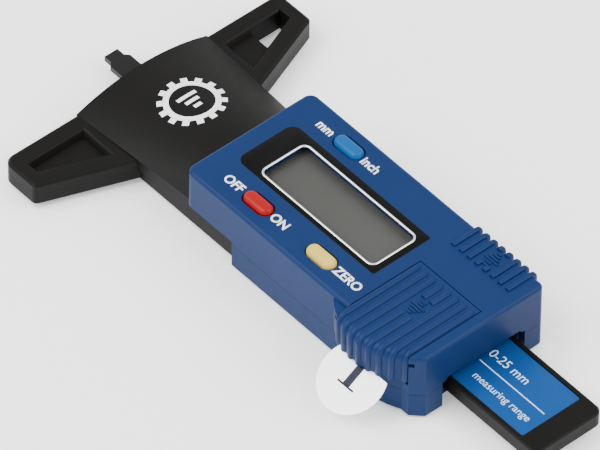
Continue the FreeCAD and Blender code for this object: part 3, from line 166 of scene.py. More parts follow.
class Shader:
    """The node tree of one material."""

    def __init__(self, name: str) -> None:
        """Start a material with an empty tree."""
        self.material = bpy.data.materials.new(name)
        self.material.use_nodes = True
        self.tree = self.material.node_tree
        self.tree.nodes.clear()

    def node(self, kind: str, settings: dict[str, Any], values: dict[Any, Any]) -> Any:
        """Add a node, set it up, then fill or link its inputs.

        Args:
            kind: The node's type.
            settings: Its properties.
            values: A number, colour or wire for each input, by name or index.

        Returns:
            The node.
        """
        node = self.tree.nodes.new(kind)
        for key, setting in settings.items():
            setattr(node, key, setting)
        for key, item in values.items():
            if isinstance(item, Wire):
                self.tree.links.new(item.socket, node.inputs[key])
            else:
                node.inputs[key].default_value = item
        return node

    def wire(self, kind: str, settings: dict[str, Any], values: dict[Any, Any], output: Any = 0) -> Wire:
        """Add a node and give the wire of one of its outputs."""
        return Wire(self, self.node(kind, settings, values).outputs[output])

    def place(self) -> Wire:
        """Give the place on the piece, in metres."""
        return self.wire("ShaderNodeTexCoord", {}, {}, "Object")

    def axes(self) -> tuple[Wire, Wire, Wire]:
        """Give the place's three numbers in millimetres."""
        parts = self.node("ShaderNodeSeparateXYZ", {}, {0: self.place()})
        return tuple(Wire(self, parts.outputs[index]) * (1 / MM) for index in range(3))

    def noise(self, size: float, detail: float = 3.0, stretch: Sequence[float] = (1, 1, 1)) -> Wire:
        """Give a noise whose features are about a size in millimetres.

        Args:
            size: The size of the features.
            detail: The number of finer octaves.
            stretch: How much finer the noise is along each axis.

        Returns:
            A wire from 0 to 1.
        """
        mapped = self.wire("ShaderNodeMapping", {}, {"Vector": self.place(), "Scale": tuple(stretch)})
        values = {"Vector": mapped, "Scale": 1 / (size * MM), "Detail": detail}
        return self.wire("ShaderNodeTexNoise", {}, values, "Fac")

    def mix(self, share: Any, first: Any, second: Any) -> Wire:
        """Blend two colours."""
        values = {0: share, 6: opaque(first), 7: opaque(second)}
        return self.wire("ShaderNodeMix", {"data_type": "RGBA"}, values, 2)

    def edge_mask(self, reach: float, contrast: float = 6.0) -> Wire:
        """Give 1 on the edges of a piece and 0 on its flats.

        Args:
            reach: How far from an edge the mask reaches, in millimetres.
            contrast: How fast the mask grows with the turn of the edge.

        Returns:
            A wire from 0 to 1.
        """
        bevel = self.wire("ShaderNodeBevel", {"samples": 4}, {"Radius": reach * MM})
        flat = self.wire("ShaderNodeNewGeometry", {}, {}, "Normal")
        turn = self.wire("ShaderNodeVectorMath", {"operation": "DOT_PRODUCT"}, {0: bevel, 1: flat}, 1)
        return ((1 - turn) * contrast).clamp()

    def bump(self, height: Wire, depth: float) -> Wire:
        """Turn a height into a normal, for a relief of a depth in millimetres."""
        return self.wire("ShaderNodeBump", {}, {"Height": height, "Distance": depth * MM, "Strength": 1.0})

    def finish(self, sockets: dict[str, Any]) -> bpy.types.Material:
        """Close the tree with one Principled shader.

        Args:
            sockets: The shader's inputs, by name.

        Returns:
            The material.
        """
        surface = self.wire("ShaderNodeBsdfPrincipled", {}, sockets)
        self.node("ShaderNodeOutputMaterial", {}, {"Surface": surface})
        return self.material


def opaque(colour: Any) -> Any:
    """Give a plain colour its fourth number, and leave a wire as it is."""
    return colour if isinstance(colour, Wire) else (*colour, 1.0)


# ---------------------------------------------------------------- finishes


@dataclass(frozen=True)
class MouldedPlastic:
    """Injection-moulded plastic with a fine spark-eroded grain."""

    name: str
    colour: Colour
    light: Colour
    roughness: float = 0.42
    grain: float = 0.22
    relief: float = 0.006
    specular: float = 0.5
    seam: float = -1.0  # height of the parting line, below the piece where there is none
    seam_width: float = 0.16
    patch_size: float = 9.0
    flow_size: float = 2.4
    edge_reach: float = 0.35

    def build(self) -> bpy.types.Material:
        """Make the material.

        Returns:
            The material.
        """
        shader = Shader(self.name)
        _, _, level = shader.axes()
        seam = level.between(self.seam - self.seam_width / 2, self.seam + self.seam_width / 2)
        patches = shader.noise(self.patch_size, 2.0)
        grain = shader.noise(self.grain, 2.0)
        flow = shader.noise(self.flow_size, 4.0)
        base = shader.mix(patches * 0.35 + grain * 0.25, self.colour, self.light)
        # the edges are painted lighter, towards the light colour
        base = shader.mix(shader.edge_mask(self.edge_reach) * (0.15 + flow * 0.3), base, self.light)
        # painted highlight: a thin band just above the parting line is mixed towards the light colour
        seam_highlight = level.between(self.seam + self.seam_width / 2, self.seam + self.seam_width * 1.3)
        base = shader.mix(seam_highlight * 0.6, base, self.light)
        base = shader.mix(seam * 0.9, base, (0, 0, 0))
        return shader.finish({
            "Base Color": base,
            "Roughness": self.roughness + (grain - 0.5) * 0.16 + (flow - 0.5) * 0.1,
            "Specular IOR Level": self.specular,
            "Normal": shader.bump(grain * 0.7 + flow * 0.3 - seam * 6, self.relief),
        })


@dataclass(frozen=True)
class BareMetal:
    """Rolled, turned or plated metal with fine lines along one direction."""

    name: str
    colour: Colour
    dark: Colour
    roughness: float = 0.3
    stretch: Sequence[float] = (1, 12, 12)

    def build(self) -> bpy.types.Material:
        """Make the material.

        Returns:
            The material.
        """
        shader = Shader(self.name)
        lines = shader.noise(0.6, 3.0, self.stretch)
        stain = shader.noise(3.0, 3.0)
        return shader.finish({
            "Base Color": shader.mix(stain * 0.6 + lines * 0.3, self.colour, self.dark),
            "Metallic": 1.0,
            "Roughness": self.roughness + (lines - 0.5) * 0.25,
            "Normal": shader.bump(lines, 0.004),
        })


@dataclass(frozen=True)
class ScaleStrip:
    """Copper strip of the capacitive scale, with its row of etched gaps."""

    name: str = "etched_copper"
    pitch: float = 2.54
    gap: float = 0.4

    def build(self) -> bpy.types.Material:
        """Make the material.

        Returns:
            The material.
        """
        shader = Shader(self.name)
        along, _, _ = shader.axes()
        bar = (along / self.pitch).math("FRACT").math("GREATER_THAN", self.gap)
        tarnish = shader.noise(2.0, 4.0)
        copper = shader.mix(tarnish, (0.75, 0.36, 0.18), (0.5, 0.24, 0.13))
        return shader.finish({
            "Base Color": shader.mix(bar, (0.03, 0.12, 0.06), copper),
            "Metallic": bar,
            "Roughness": 0.3 + tarnish * 0.25,
            "Normal": shader.bump(bar, 0.03),
        })


@dataclass(frozen=True)
class BoardMask:
    """Green solder mask over copper tracks."""

    name: str = "solder_mask"

    def build(self) -> bpy.types.Material:
        """Make the material.

        Returns:
            The material.
        """
        shader = Shader(self.name)
        along, across, _ = shader.axes()
        bend = shader.noise(6.0, 1.0)
        track = ((across + bend * 3) / 1.1).math("FRACT").between(0.3, 0.55)
        dust = shader.noise(0.5, 2.0)
        hatch = ((along + across) / 0.8).math("FRACT").between(0.0, 0.2) * 0.3
        return shader.finish({
            "Base Color": shader.mix(
                (track + hatch).clamp() * 0.7 + dust * 0.2, (0.01, 0.11, 0.045), (0.05, 0.3, 0.13)),
            "Roughness": 0.28 + dust * 0.15,
            "Normal": shader.bump(track, 0.03),
        })


@dataclass(frozen=True)
class BlankDisplay:
    """Reflective liquid-crystal glass that shows nothing, a little lighter towards one end."""

    front: float
    rear: float
    dark: Colour = (0.039, 0.0392, 0.0368)
    light: Colour = (0.05, 0.0504, 0.0475)
    name: str = "blank_display"

    def build(self) -> bpy.types.Material:
        """Make the material.

        Returns:
            The material.
        """
        shader = Shader(self.name)
        along, _, _ = shader.axes()
        share = ((along - self.front) / (self.rear - self.front)).clamp()
        cloud = shader.noise(0.4, 1.0)
        return shader.finish({
            "Base Color": shader.mix(share * 0.7 + cloud * 0.3, self.dark, self.light),
            "Roughness": 0.38 + cloud * 0.04,
            "Specular IOR Level": 0.2,
        })


@dataclass(frozen=True)
class ClearWindow:
    """Clear acrylic, hazy only where its noise passes a threshold."""

    name: str = "clear_acrylic"
    haze_start: float = 0.8
    haze_gain: float = 0.1

    def build(self) -> bpy.types.Material:
        """Make the material.

        Returns:
            The material.
        """
        shader = Shader(self.name)
        haze = shader.noise(0.5, 1.0)
        return shader.finish({
            "Base Color": shader.mix(haze, (0.05, 0.05, 0.05), (0.1, 0.1, 0.1)),
            "Alpha": ((haze - self.haze_start) * self.haze_gain).clamp(),
            "Roughness": 0.06 + haze * 0.05,
            "Specular IOR Level": 0.3,
        })


@dataclass(frozen=True)
class PrintedFilm:
    """Translucent plastic film of the pull tab, with a painted glow: it emits a little light though no lamp
    is inside it.
    """

    name: str = "white_film"
    # painted light: strength of the film's glow, though the film is no lamp
    glow: float = 0.5

    def build(self) -> bpy.types.Material:
        """Make the material.

        Returns:
            The material.
        """
        shader = Shader(self.name)
        cloud = shader.noise(4.0, 3.0)
        fibre = shader.noise(0.8, 3.0, (1, 4, 1))
        return shader.finish({
            "Base Color": shader.mix(cloud * 0.6 + fibre * 0.2, (0.95, 0.97, 1.0), (1.0, 1.0, 1.0)),
            "Roughness": 0.3 + fibre * 0.15,
            "Alpha": 0.94 + cloud * 0.05,
            "Emission Color": shader.mix(cloud, (0.9, 0.93, 1.0), (1.0, 1.0, 1.0)),
            "Emission Strength": self.glow,
            "Coat Weight": 0.3 + cloud * 0.2,
            "Normal": shader.bump(cloud, 0.05),
        })


@dataclass(frozen=True)
class PrintedInk:
    """Ink printed on plastic, a little uneven at small scale."""

    name: str
    colour: Colour
    shade: Colour
    roughness: float = 0.45
    relief: float = 0.004

    def build(self) -> bpy.types.Material:
        """Make the material.

        Returns:
            The material.
        """
        shader = Shader(self.name)
        grain = shader.noise(0.25, 2.0)
        cloud = shader.noise(2.5, 2.0)
        return shader.finish({
            "Base Color": shader.mix(grain * 0.4 + cloud * 0.4, self.colour, self.shade),
            "Roughness": self.roughness + (grain - 0.5) * 0.15,
            "Specular IOR Level": 0.2,
            "Normal": shader.bump(grain, self.relief),
        })


@dataclass(frozen=True)
class StudioPaper:
    """Pale seamless paper of the studio floor."""

    name: str = "studio_paper"
    glow: float = 0.3

    def build(self) -> bpy.types.Material:
        """Make the material.

        Returns:
            The material.
        """
        shader = Shader(self.name)
        fibre = shader.noise(3.0, 3.0)
        return shader.finish({
            "Base Color": shader.mix(fibre, (0.9, 0.9, 0.9), (0.93, 0.93, 0.93)),
            "Roughness": 0.85 + fibre * 0.1,
            "Emission Color": shader.mix(fibre, (0.96, 0.96, 0.96), (1.0, 1.0, 1.0)),
            "Emission Strength": self.glow,
        })


class Finishes:
    """Every material of the gauge, made once."""

    def __init__(self) -> None:
        """Build the materials."""
        glass = Span.of("lcd_glass")
        foot_seam = Span.of("foot_upper_shell").low.z / MM
        housing_seam = Span.of("housing_top").low.z / MM
        jet, pale_jet = (0.0018, 0.0016, 0.0014), (0.006, 0.0055, 0.005)
        self.black = MouldedPlastic("black_grained", jet, pale_jet, 0.45, specular=0.1).build()
        self.foot = MouldedPlastic(
            "black_foot", jet, pale_jet, 0.45, specular=0.1, seam=foot_seam, seam_width=0.26).build()
        self.blue = MouldedPlastic(
            "blue_satin", (0.0029, 0.0147, 0.063), (0.006, 0.023, 0.088), 0.42, 0.3, 0.004, 0.1,
            housing_seam).build()
        self.bezel = MouldedPlastic(
            "gloss_black", (0.0006, 0.0006, 0.0006), (0.002, 0.002, 0.002), 0.16, 0.5, 0.001, 0.1).build()
        self.red = MouldedPlastic(
            "signal_red", (0.22, 0.0012, 0.001), (0.32, 0.005, 0.004), 0.34, 0.3, 0.003, 0.16).build()
        self.cyan = MouldedPlastic(
            "light_blue", (0.0, 0.055, 0.19), (0.001, 0.08, 0.25), 0.34, 0.3, 0.003, 0.14).build()
        self.yellow = MouldedPlastic(
            "pale_yellow", (0.5, 0.36, 0.055), (0.62, 0.48, 0.1), 0.36, 0.3, 0.003, 0.16).build()
        self.probe = MouldedPlastic(
            "blackened_steel", (0.002, 0.002, 0.002), (0.007, 0.0065, 0.006), 0.32, 0.15, 0.003, 0.2).build()
        self.rubber = MouldedPlastic("layered_rubber", (0.3, 0.26, 0.25), (0.45, 0.4, 0.38), 0.7).build()
        self.chip = MouldedPlastic("epoxy_black", (0.01, 0.01, 0.01), (0.025, 0.025, 0.025), 0.5).build()
        self.steel = BareMetal("plated_steel", (0.62, 0.62, 0.61), (0.42, 0.42, 0.41)).build()
        self.brass = BareMetal("rolled_brass", (0.75, 0.56, 0.26), (0.55, 0.4, 0.17)).build()
        self.copper = BareMetal("bare_copper", (0.75, 0.38, 0.2), (0.5, 0.25, 0.13)).build()
        self.silver = BareMetal(
            "silver_line", (0.83, 0.84, 0.85), (0.72, 0.73, 0.74), 0.36, (1, 1, 1)).build()
        self.scale = ScaleStrip().build()
        self.board = BoardMask().build()
        self.display = BlankDisplay(glass.low.x / MM, glass.high.x / MM).build()
        self.window = ClearWindow().build()
        self.film = PrintedFilm().build()
        self.label = PrintedInk("label_blue", (0.0, 0.037, 0.155), (0.0, 0.047, 0.19), 0.34).build()
        self.white = PrintedInk("white_ink", (0.82, 0.83, 0.84), (0.72, 0.73, 0.75)).build()
        self.navy = PrintedInk("navy_ink", (0.002, 0.003, 0.015), (0.004, 0.006, 0.025)).build()
        self.line = PrintedInk("pale_line", (0.5, 0.62, 0.8), (0.4, 0.52, 0.72)).build()
        self.paper = StudioPaper().build()


# ---------------------------------------------------------------- modelling tools


@dataclass(frozen=True)
class Span:
    """A box in the frame, in metres."""

    low: Vector
    high: Vector

    @classmethod
    def of(cls, node: str) -> "Span":
        """Give the box of a node of the frame."""
        low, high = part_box(node)
        return cls(Vector(low), Vector(high))

    @property
    def middle(self) -> Vector:
        """Give the middle of the box."""
        return (self.low + self.high) / 2

    @property
    def size(self) -> Vector:
        """Give the edge lengths of the box."""
        return self.high - self.low


def clear_selection() -> None:
    """Deselect every object."""
    bpy.ops.object.select_all(action="DESELECT")


def focus(piece: bpy.types.Object) -> None:
    """Make one object the only selected and the active one.

    Args:
        piece: The object.
    """
    clear_selection()
    piece.select_set(True)
    bpy.context.view_layer.objects.active = piece


def start(add: Callable[..., Any], name: str, **settings: Any) -> bpy.types.Object:
    """Add a primitive under a name.

    Args:
        add: The operator that adds it.
        name: The name of the new object.
        settings: The operator's settings.

    Returns:
        The new object, the only one selected.
    """
    clear_selection()
    add(**settings)
    piece = bpy.context.active_object
    piece.name = name
    return piece


@contextmanager
def editing(piece: bpy.types.Object, mode: str = "VERT") -> Iterator[None]:
    """Work on a mesh in edit mode, with one kind of element.

    Args:
        piece: The object.
        mode: VERT, EDGE or FACE.

    Yields:
        Nothing, while the mesh is in edit mode.
    """
    focus(piece)
    bpy.ops.object.mode_set(mode="EDIT")
    bpy.ops.mesh.select_mode(type=mode)
    yield
    bpy.ops.object.mode_set(mode="OBJECT")


def pick(
    piece: bpy.types.Object, kind: str, test: Callable[[Vector, Vector], bool], among_selected: bool = False
) -> None:
    """Select the elements of a mesh that a test accepts, and no others.

    Args:
        piece: The object, in edit mode.
        kind: VERT, EDGE or FACE.
        test: Takes an element's middle and its direction: a face's or vertex's normal, or an edge's run.
        among_selected: Whether only what is selected beforehand can be chosen.
    """
    bpy.ops.object.mode_set(mode="OBJECT")
    mesh = piece.data
    spots = [vertex.co for vertex in mesh.vertices]

    def view(element: Any) -> tuple[Vector, Vector]:
        """Give an element's middle and direction."""
        if kind == "FACE":
            return element.center, element.normal
        if kind == "VERT":
            return element.co, element.normal
        first, second = (spots[index] for index in element.vertices)
        return (first + second) / 2, (second - first).normalized()

    elements = {"FACE": mesh.polygons, "EDGE": mesh.edges, "VERT": mesh.vertices}[kind]
    chosen = [
        element.index for element in elements
        if (element.select or not among_selected) and test(*view(element))
    ]
    bpy.ops.object.mode_set(mode="EDIT")
    bpy.ops.mesh.select_all(action="DESELECT")
    bpy.ops.object.mode_set(mode="OBJECT")
    for index in chosen:
        elements[index].select = True
    bpy.ops.object.mode_set(mode="EDIT")


def move(vector: Sequence[float]) -> None:
    """Move what is selected in edit mode."""
    bpy.ops.transform.translate(value=tuple(vector))


def grow(vector: Sequence[float]) -> None:
    """Extrude what is selected along a vector."""
    bpy.ops.mesh.extrude_region_move(TRANSFORM_OT_translate={"value": tuple(vector)})


def settle(piece: bpy.types.Object) -> bpy.types.Object:
    """Move an object's place into its mesh.

    Args:
        piece: The object.

    Returns:
        The same object, at the origin.
    """
    focus(piece)
    bpy.ops.object.transform_apply(location=True, rotation=True, scale=True)
    return piece


def apply(piece: bpy.types.Object, kind: str, **settings: Any) -> None:
    """Add one modifier to an object, set it up and apply it.

    Args:
        piece: The object.
        kind: The modifier's type.
        settings: Its properties.
    """
    focus(piece)
    modifier = piece.modifiers.new(kind.lower(), kind)
    for key, setting in settings.items():
        setattr(modifier, key, setting)
    bpy.ops.object.modifier_apply(modifier=modifier.name)


def combine(piece: bpy.types.Object, other: bpy.types.Object, operation: str) -> None:
    """Unite a piece with another solid, or cut the other out of it, and remove the other."""
    apply(piece, "BOOLEAN", object=other, operation=operation, solver="EXACT")
    bpy.data.objects.remove(other)


def join(pieces: Sequence[bpy.types.Object]) -> bpy.types.Object:
    """Join several objects into the first.

    Args:
        pieces: The objects.

    Returns:
        The first of them, with all their meshes.
    """
    clear_selection()
    for piece in pieces:
        piece.select_set(True)
    bpy.context.view_layer.objects.active = pieces[0]
    bpy.ops.object.join()
    return pieces[0]


def copy_of(piece: bpy.types.Object, name: str, shift: Sequence[float] = (0, 0, 0)) -> bpy.types.Object:
    """Copy an object with its own mesh.

    Args:
        piece: The object.
        name: The copy's name.
        shift: How far the copy's mesh is moved, in metres.

    Returns:
        The copy.
    """
    twin = piece.copy()
    twin.data = piece.data.copy()
    twin.name = name
    bpy.context.collection.objects.link(twin)
    twin.data.transform(Matrix.Translation(Vector(shift)))
    return twin


def outward(piece: bpy.types.Object) -> None:
    """Merge doubles and turn every face of a closed shell outwards.

    Args:
        piece: The object.
    """
    with editing(piece):
        bpy.ops.mesh.select_all(action="SELECT")
        bpy.ops.mesh.remove_doubles(threshold=NEAR)
        bpy.ops.mesh.normals_make_consistent(inside=False)


def smooth(piece: bpy.types.Object, degrees: float = 35.0) -> None:
    """Shade an object smooth, with its sharp edges kept."""
    focus(piece)
    bpy.ops.object.shade_smooth_by_angle(angle=math.radians(degrees))


def dress(
    piece: bpy.types.Object, material: bpy.types.Material, body: Body, slot: str, *nodes: str
) -> bpy.types.Object:
    """Give a finished piece its material and its place in the frame.

    Args:
        piece: The finished object.
        material: Its material.
        body: The body that it rides on.
        slot: The record's slot that it belongs to; not used.
        nodes: The nodes that it stands for.

    Returns:
        The piece.
    """
    piece.data.materials.clear()
    piece.data.materials.append(material)
    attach(piece, body.value)
    if nodes:
        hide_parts(*nodes)
    LOG.info("%s: %d faces on %s", piece.name, len(piece.data.polygons), body.value)
    return piece


def coat(material: bpy.types.Material, *nodes: str) -> None:
    """Give nodes of the frame a material.

    Args:
        material: The material.
        nodes: The nodes' names.
    """
    for node in nodes:
        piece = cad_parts[node]
        piece.data.materials.clear()
        piece.data.materials.append(material)
        LOG.info("%s: coated with %s", node, material.name)


def sheet_of(piece: bpy.types.Object, thickness: float) -> None:
    """Turn a flat face into a thin sheet.

    Args:
        piece: The flat object.
        thickness: How far the sheet rises, in metres.
    """
    with editing(piece, "FACE"):
        bpy.ops.mesh.select_all(action="SELECT")
        grow((0, 0, thickness))
        bpy.ops.mesh.select_all(action="SELECT")
        bpy.ops.mesh.normals_make_consistent(inside=False)


def lay_on(piece: bpy.types.Object, node: str, thickness: float) -> None:
    """Drop a flat print onto a curved node and give it a thickness.

    Args:
        piece: The flat print, above the node.
        node: The node.
        thickness: The print's thickness, in millimetres.
    """
    apply(
        piece, "SHRINKWRAP", target=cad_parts[node], wrap_method="PROJECT", use_project_z=True,
        use_negative_direction=True, use_positive_direction=False, offset=thickness * MM / 2)
    apply(piece, "SOLIDIFY", thickness=thickness * MM, offset=1)


def islands(node: str) -> list[tuple[Vector, Vector]]:
    """Give the boxes of the separate shells of a node.

    Args:
        node: The node.

    Returns:
        The low and high corner of each shell, ordered along X and Y.
    """
    twin = copy_of(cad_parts[node], "islands")
    outward(twin)
    with editing(twin):
        bpy.ops.mesh.select_all(action="SELECT")
        bpy.ops.mesh.separate(type="LOOSE")
    boxes = []
    for shell in list(bpy.context.selected_objects):
        spots = [shell.matrix_world @ vertex.co for vertex in shell.data.vertices]
        low = Vector([min(spot[axis] for spot in spots) for axis in range(3)])
        high = Vector([max(spot[axis] for spot in spots) for axis in range(3)])
        boxes.append((low, high))
        bpy.data.objects.remove(shell)
    return sorted(boxes, key=lambda box: (round(box[0].x, 5), box[0].y))


def rounded_plate(
    name: str, low: Vector, high: Vector, radius: float, top_edge: float, rear_radius: float | None = None
) -> bpy.types.Object:
    """Model a plate with round corners and a softened upper edge.

    Args:
        name: The new object's name.
        low: The plate's lowest corner.
        high: The plate's highest corner.
        radius: The radius of its upright corners.
        top_edge: The width of the bevel round its top.
        rear_radius: The radius of the two corners at its rear, where it differs.

    Returns:
        The plate.
    """
    plate = start(bpy.ops.mesh.primitive_cube_add, name, size=1, location=(low + high) / 2)
    plate.scale = high - low
    settle(plate)
    with editing(plate, "EDGE"):
        for end, corner in ((low.x, radius), (high.x, rear_radius or radius)):
            pick(plate, "EDGE", lambda spot, run: abs(run.z) > 0.9 and abs(spot.x - end) < NEAR)
            bpy.ops.mesh.bevel(offset=corner, segments=CORNER_SEGMENTS)
        pick(plate, "EDGE", lambda spot, run: spot.z > high.z - NEAR)
        bpy.ops.mesh.bevel(offset=top_edge, segments=EDGE_SEGMENTS)
    return plate


def rounded_bar(
    name: str, begin: Vector, reach: float, bend: float, drop: float, radius: float, side: Side
) -> bpy.types.Object:
    """Model a grip rib: a round bar that runs outwards and bends down over an edge.

    Args:
        name: The new object's name.
        begin: The middle of the bar's inner end.
        reach: How far the bar runs before it bends, with its sign along Y.
        bend: The radius of the bend.
        drop: How far it runs down after the bend.
        radius: The radius of the bar.
        side: The side on which it bends down.

    Returns:
        The bar, open at both ends.
    """
    tilt = (math.pi / 2, 0, 0)
    bar = start(
        bpy.ops.mesh.primitive_circle_add, name, vertices=16, radius=radius, location=begin, rotation=tilt)
    settle(bar)
    with editing(bar, "EDGE"):
        bpy.ops.mesh.select_all(action="SELECT")
        grow((0, reach, 0))
        centre = (begin.x, begin.y + reach, begin.z - bend)
        bpy.ops.mesh.spin(
            steps=CORNER_SEGMENTS, angle=math.pi / 2, center=centre, axis=(side.value, 0, 0))
        grow((0, 0, -drop))
    return bar


def cap_ends(bar: bpy.types.Object, radius: float, side: Side) -> None:
    """Close both open ends of a bar with low domes.

    Args:
        bar: The bar.
        radius: Its radius.
        side: The side on which it bends down.
    """
    dome_height = 0.6 * radius
    steps = ((0.5, 0.87), (0.36, 0.62), (0.14, 0.3))  # shares of the dome's height and of the radius
    spots = [vertex.co.copy() for vertex in bar.data.vertices]
    lowest = min(spot.z for spot in spots)
    innermost = min(spot.y * side.value for spot in spots)
    ends = (
        (lambda spot, _: abs(spot.z - lowest) < NEAR, Vector((0, 0, -1))),
        (lambda spot, _: abs(spot.y * side.value - innermost) < NEAR, Vector((0, -side.value, 0))),
    )
    for test, way in ends:
        with editing(bar, "VERT"):
            pick(bar, "VERT", test)
            size = 1.0
            for rise, share in steps:
                grow(way * rise * dome_height)
                factor = share / size
                bpy.ops.transform.resize(value=(factor, factor, factor))
                size = share
            bpy.ops.mesh.edge_face_add()
    outward(bar)


def printed_word(
    name: str, text: str, spot: Vector, height: float, rise: float, align: Align,
    stroke: float = 0.0, width: float = 1.0
) -> bpy.types.Object:
    """Model one printed word as a thin sheet.

    Args:
        name: The piece's name.
        text: The word.
        spot: Its place on the face that it is printed on.
        height: The height of its capitals, in millimetres.
        rise: The thickness of the print, in millimetres.
        align: The part of the word that stands at the place.
        stroke: How much fatter each stroke is on each side, in millimetres.
        width: The width of the letters as a share of the type's own.

    Returns:
        The word.
    """
    word = start(bpy.ops.object.text_add, name, location=spot)
    word.data.body = text
    word.data.size = height * MM / CAPITAL_SHARE
    word.data.align_x = align.value
    word.data.align_y = "CENTER"
    word.data.offset = stroke * MM
    word.scale = (width, 1, 1)
    focus(word)
    bpy.ops.object.convert(target="MESH")
    settle(word)
    sheet_of(word, rise * MM)
    return word


@dataclass
class GripArrow:
    """Hatched arrow of short raised bars that grow shorter towards its tip."""

    name: str
    spot: Vector
    side: Side
    length: float = 4.4
    width: float = 3.6
    count: int = 6
    stem_count: int = 2
    stem_share: float = 0.4
    bar_share: float = 0.55
    bar_height: float = 0.34
    lift: float = 0.12
    edge: float = 0.1

    def build(self) -> bpy.types.Object:
        """Model the arrow.

        Returns:
            The arrow, which points to its side.
        """
        arrow = join([self.bar(index) for index in range(self.count)])
        arrow.name = self.name
        smooth(arrow)
        return arrow

    def bar(self, index: int) -> bpy.types.Object:
        """Model one bar of the stem or the head.

        Args:
            index: The bar's number, from the stem's end.

        Returns:
            The bar.
        """
        pitch = self.length / self.count
        in_head = index >= self.stem_count
        share = (self.count - index) / (self.count - self.stem_count) if in_head else self.stem_share
        along = self.side.value * (index - (self.count - 1) / 2) * pitch
        centre = self.spot + Vector((0, along * MM, self.lift * MM))
        bar = start(bpy.ops.mesh.primitive_cube_add, f"{self.name}_{index}", size=MM, location=centre)
        bar.scale = (self.width * share, pitch * self.bar_share, self.bar_height)
        settle(bar)
        with editing(bar, "EDGE"):
            pick(bar, "EDGE", lambda place, run: place.z > centre.z)
            bpy.ops.mesh.bevel(offset=self.edge * MM, segments=2)
        return bar


# ---------------------------------------------------------------- foot


@dataclass
class Foot:
    """Black T-shaped foot: its two shells and a generic tyre symbol on the neck."""

    finishes: Finishes
    ring_radius: float = 5.7
    ring_width: float = 1.15
    lug_count: int = 14
    lug_length: float = 1.25
    lug_width: float = 1.35
    lug_overlap: float = 0.1
    bar_lengths: Sequence[float] = (4.6, 3.2, 1.8)
    bar_pitch: float = 1.7
    bar_width: float = 0.85
    symbol_setback: float = 15.0
    print_height: float = 0.05
    wing_rise: float = 2.4
    neck_reach: float = 16.6
    flat_angle: float = 0.5
    rim_angle: float = 55.0
    rim_round: float = 0.5

    def build(self) -> None:
        """Coat the shells and print the symbol."""
        coat(self.finishes.foot, "foot_lower_shell")
        self.upper_shell()
        self.tyre_symbol()

    def upper_shell(self) -> None:
        """Round the rims of the recesses in a copy of the upper shell."""
        shell = copy_of(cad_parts["foot_upper_shell"], "foot_upper_rounded")
        outward(shell)
        bpy.ops.mesh.customdata_custom_splitnormals_clear()
        top = Span.of("foot_upper_shell").low.z + self.wing_rise * MM
        with editing(shell, "FACE"):
            pick(shell, "FACE", lambda spot, _: abs(spot.y) > self.neck_reach * MM)
            bpy.ops.mesh.dissolve_limited(angle_limit=math.radians(self.flat_angle))
        with editing(shell, "EDGE"):
            bpy.ops.mesh.select_all(action="DESELECT")
            bpy.ops.mesh.edges_select_sharp(sharpness=math.radians(self.rim_angle))
            pick(
                shell, "EDGE",
                lambda spot, run: abs(spot.z - top) < 5 * NEAR and abs(spot.y) > self.neck_reach * MM,
                among_selected=True)
            bpy.ops.mesh.bevel(offset=self.rim_round * MM, segments=EDGE_SEGMENTS)
        smooth(shell, 30)
        dress(shell, self.finishes.foot, Body.HOUSING, "black_plastic", "foot_upper_shell")

    def tyre_symbol(self) -> None:
        """Model a plain ring of tread blocks round a gauge bar, laid on the arched neck."""
        shell = Span.of("foot_upper_shell")
        centre = Vector((shell.low.x + self.symbol_setback * MM, 0, shell.high.z + MM))
        ring = self.flat_ring(centre)
        bars = [self.depth_bar(centre, index) for index in range(len(self.bar_lengths))]
        symbol = join([ring, *self.tread_blocks(centre), *bars])
        with editing(symbol, "FACE"):
            bpy.ops.mesh.select_all(action="SELECT")
            bpy.ops.mesh.subdivide(number_cuts=3)
        lay_on(symbol, "foot_upper_shell", self.print_height)
        dress(symbol, self.finishes.white, Body.HOUSING, "black_plastic")

    def flat_ring(self, centre: Vector) -> bpy.types.Object:
        """Model the flat ring of the symbol.

        Args:
            centre: The middle of the symbol.

        Returns:
            The ring.
        """
        outer = self.ring_radius * MM
        ring = start(
            bpy.ops.mesh.primitive_circle_add, "neck_symbol", vertices=64, radius=outer,
            fill_type="NGON", location=centre)
        settle(ring)
        with editing(ring, "FACE"):
            bpy.ops.mesh.select_all(action="SELECT")
            bpy.ops.mesh.inset(thickness=self.ring_width * MM)
            bpy.ops.mesh.delete(type="FACE")
        return ring

    def tread_blocks(self, centre: Vector) -> list[bpy.types.Object]:
        """Model one tread block outside the ring and turn copies of it round the centre.

        Args:
            centre: The middle of the symbol.

        Returns:
            The blocks.
        """
        reach = (self.ring_radius + self.lug_length / 2 - self.lug_overlap) * MM
        block = start(
            bpy.ops.mesh.primitive_plane_add, "block_0", size=MM, location=centre + Vector((reach, 0, 0)))
        block.scale = (self.lug_length, self.lug_width, 1)
        blocks = [settle(block)]
        for index in range(1, self.lug_count):
            twin = copy_of(block, f"block_{index}", -centre)
            twin.data.transform(Matrix.Rotation(2 * math.pi * index / self.lug_count, 4, "Z"))
            twin.data.transform(Matrix.Translation(centre))
            blocks.append(twin)
        return blocks

    def depth_bar(self, centre: Vector, index: int) -> bpy.types.Object:
        """Model one bar of the depth sign in the middle of the ring.

        Args:
            centre: The middle of the symbol.
            index: The bar's number, from the longest.

        Returns:
            The bar.
        """
        spot = centre + Vector(((index - 1) * self.bar_pitch * MM, 0, 0))
        bar = start(bpy.ops.mesh.primitive_plane_add, f"bar_{index}", size=MM, location=spot)
        bar.scale = (self.bar_width, self.bar_lengths[index], 1)
        return settle(bar)


# ---------------------------------------------------------------- housing


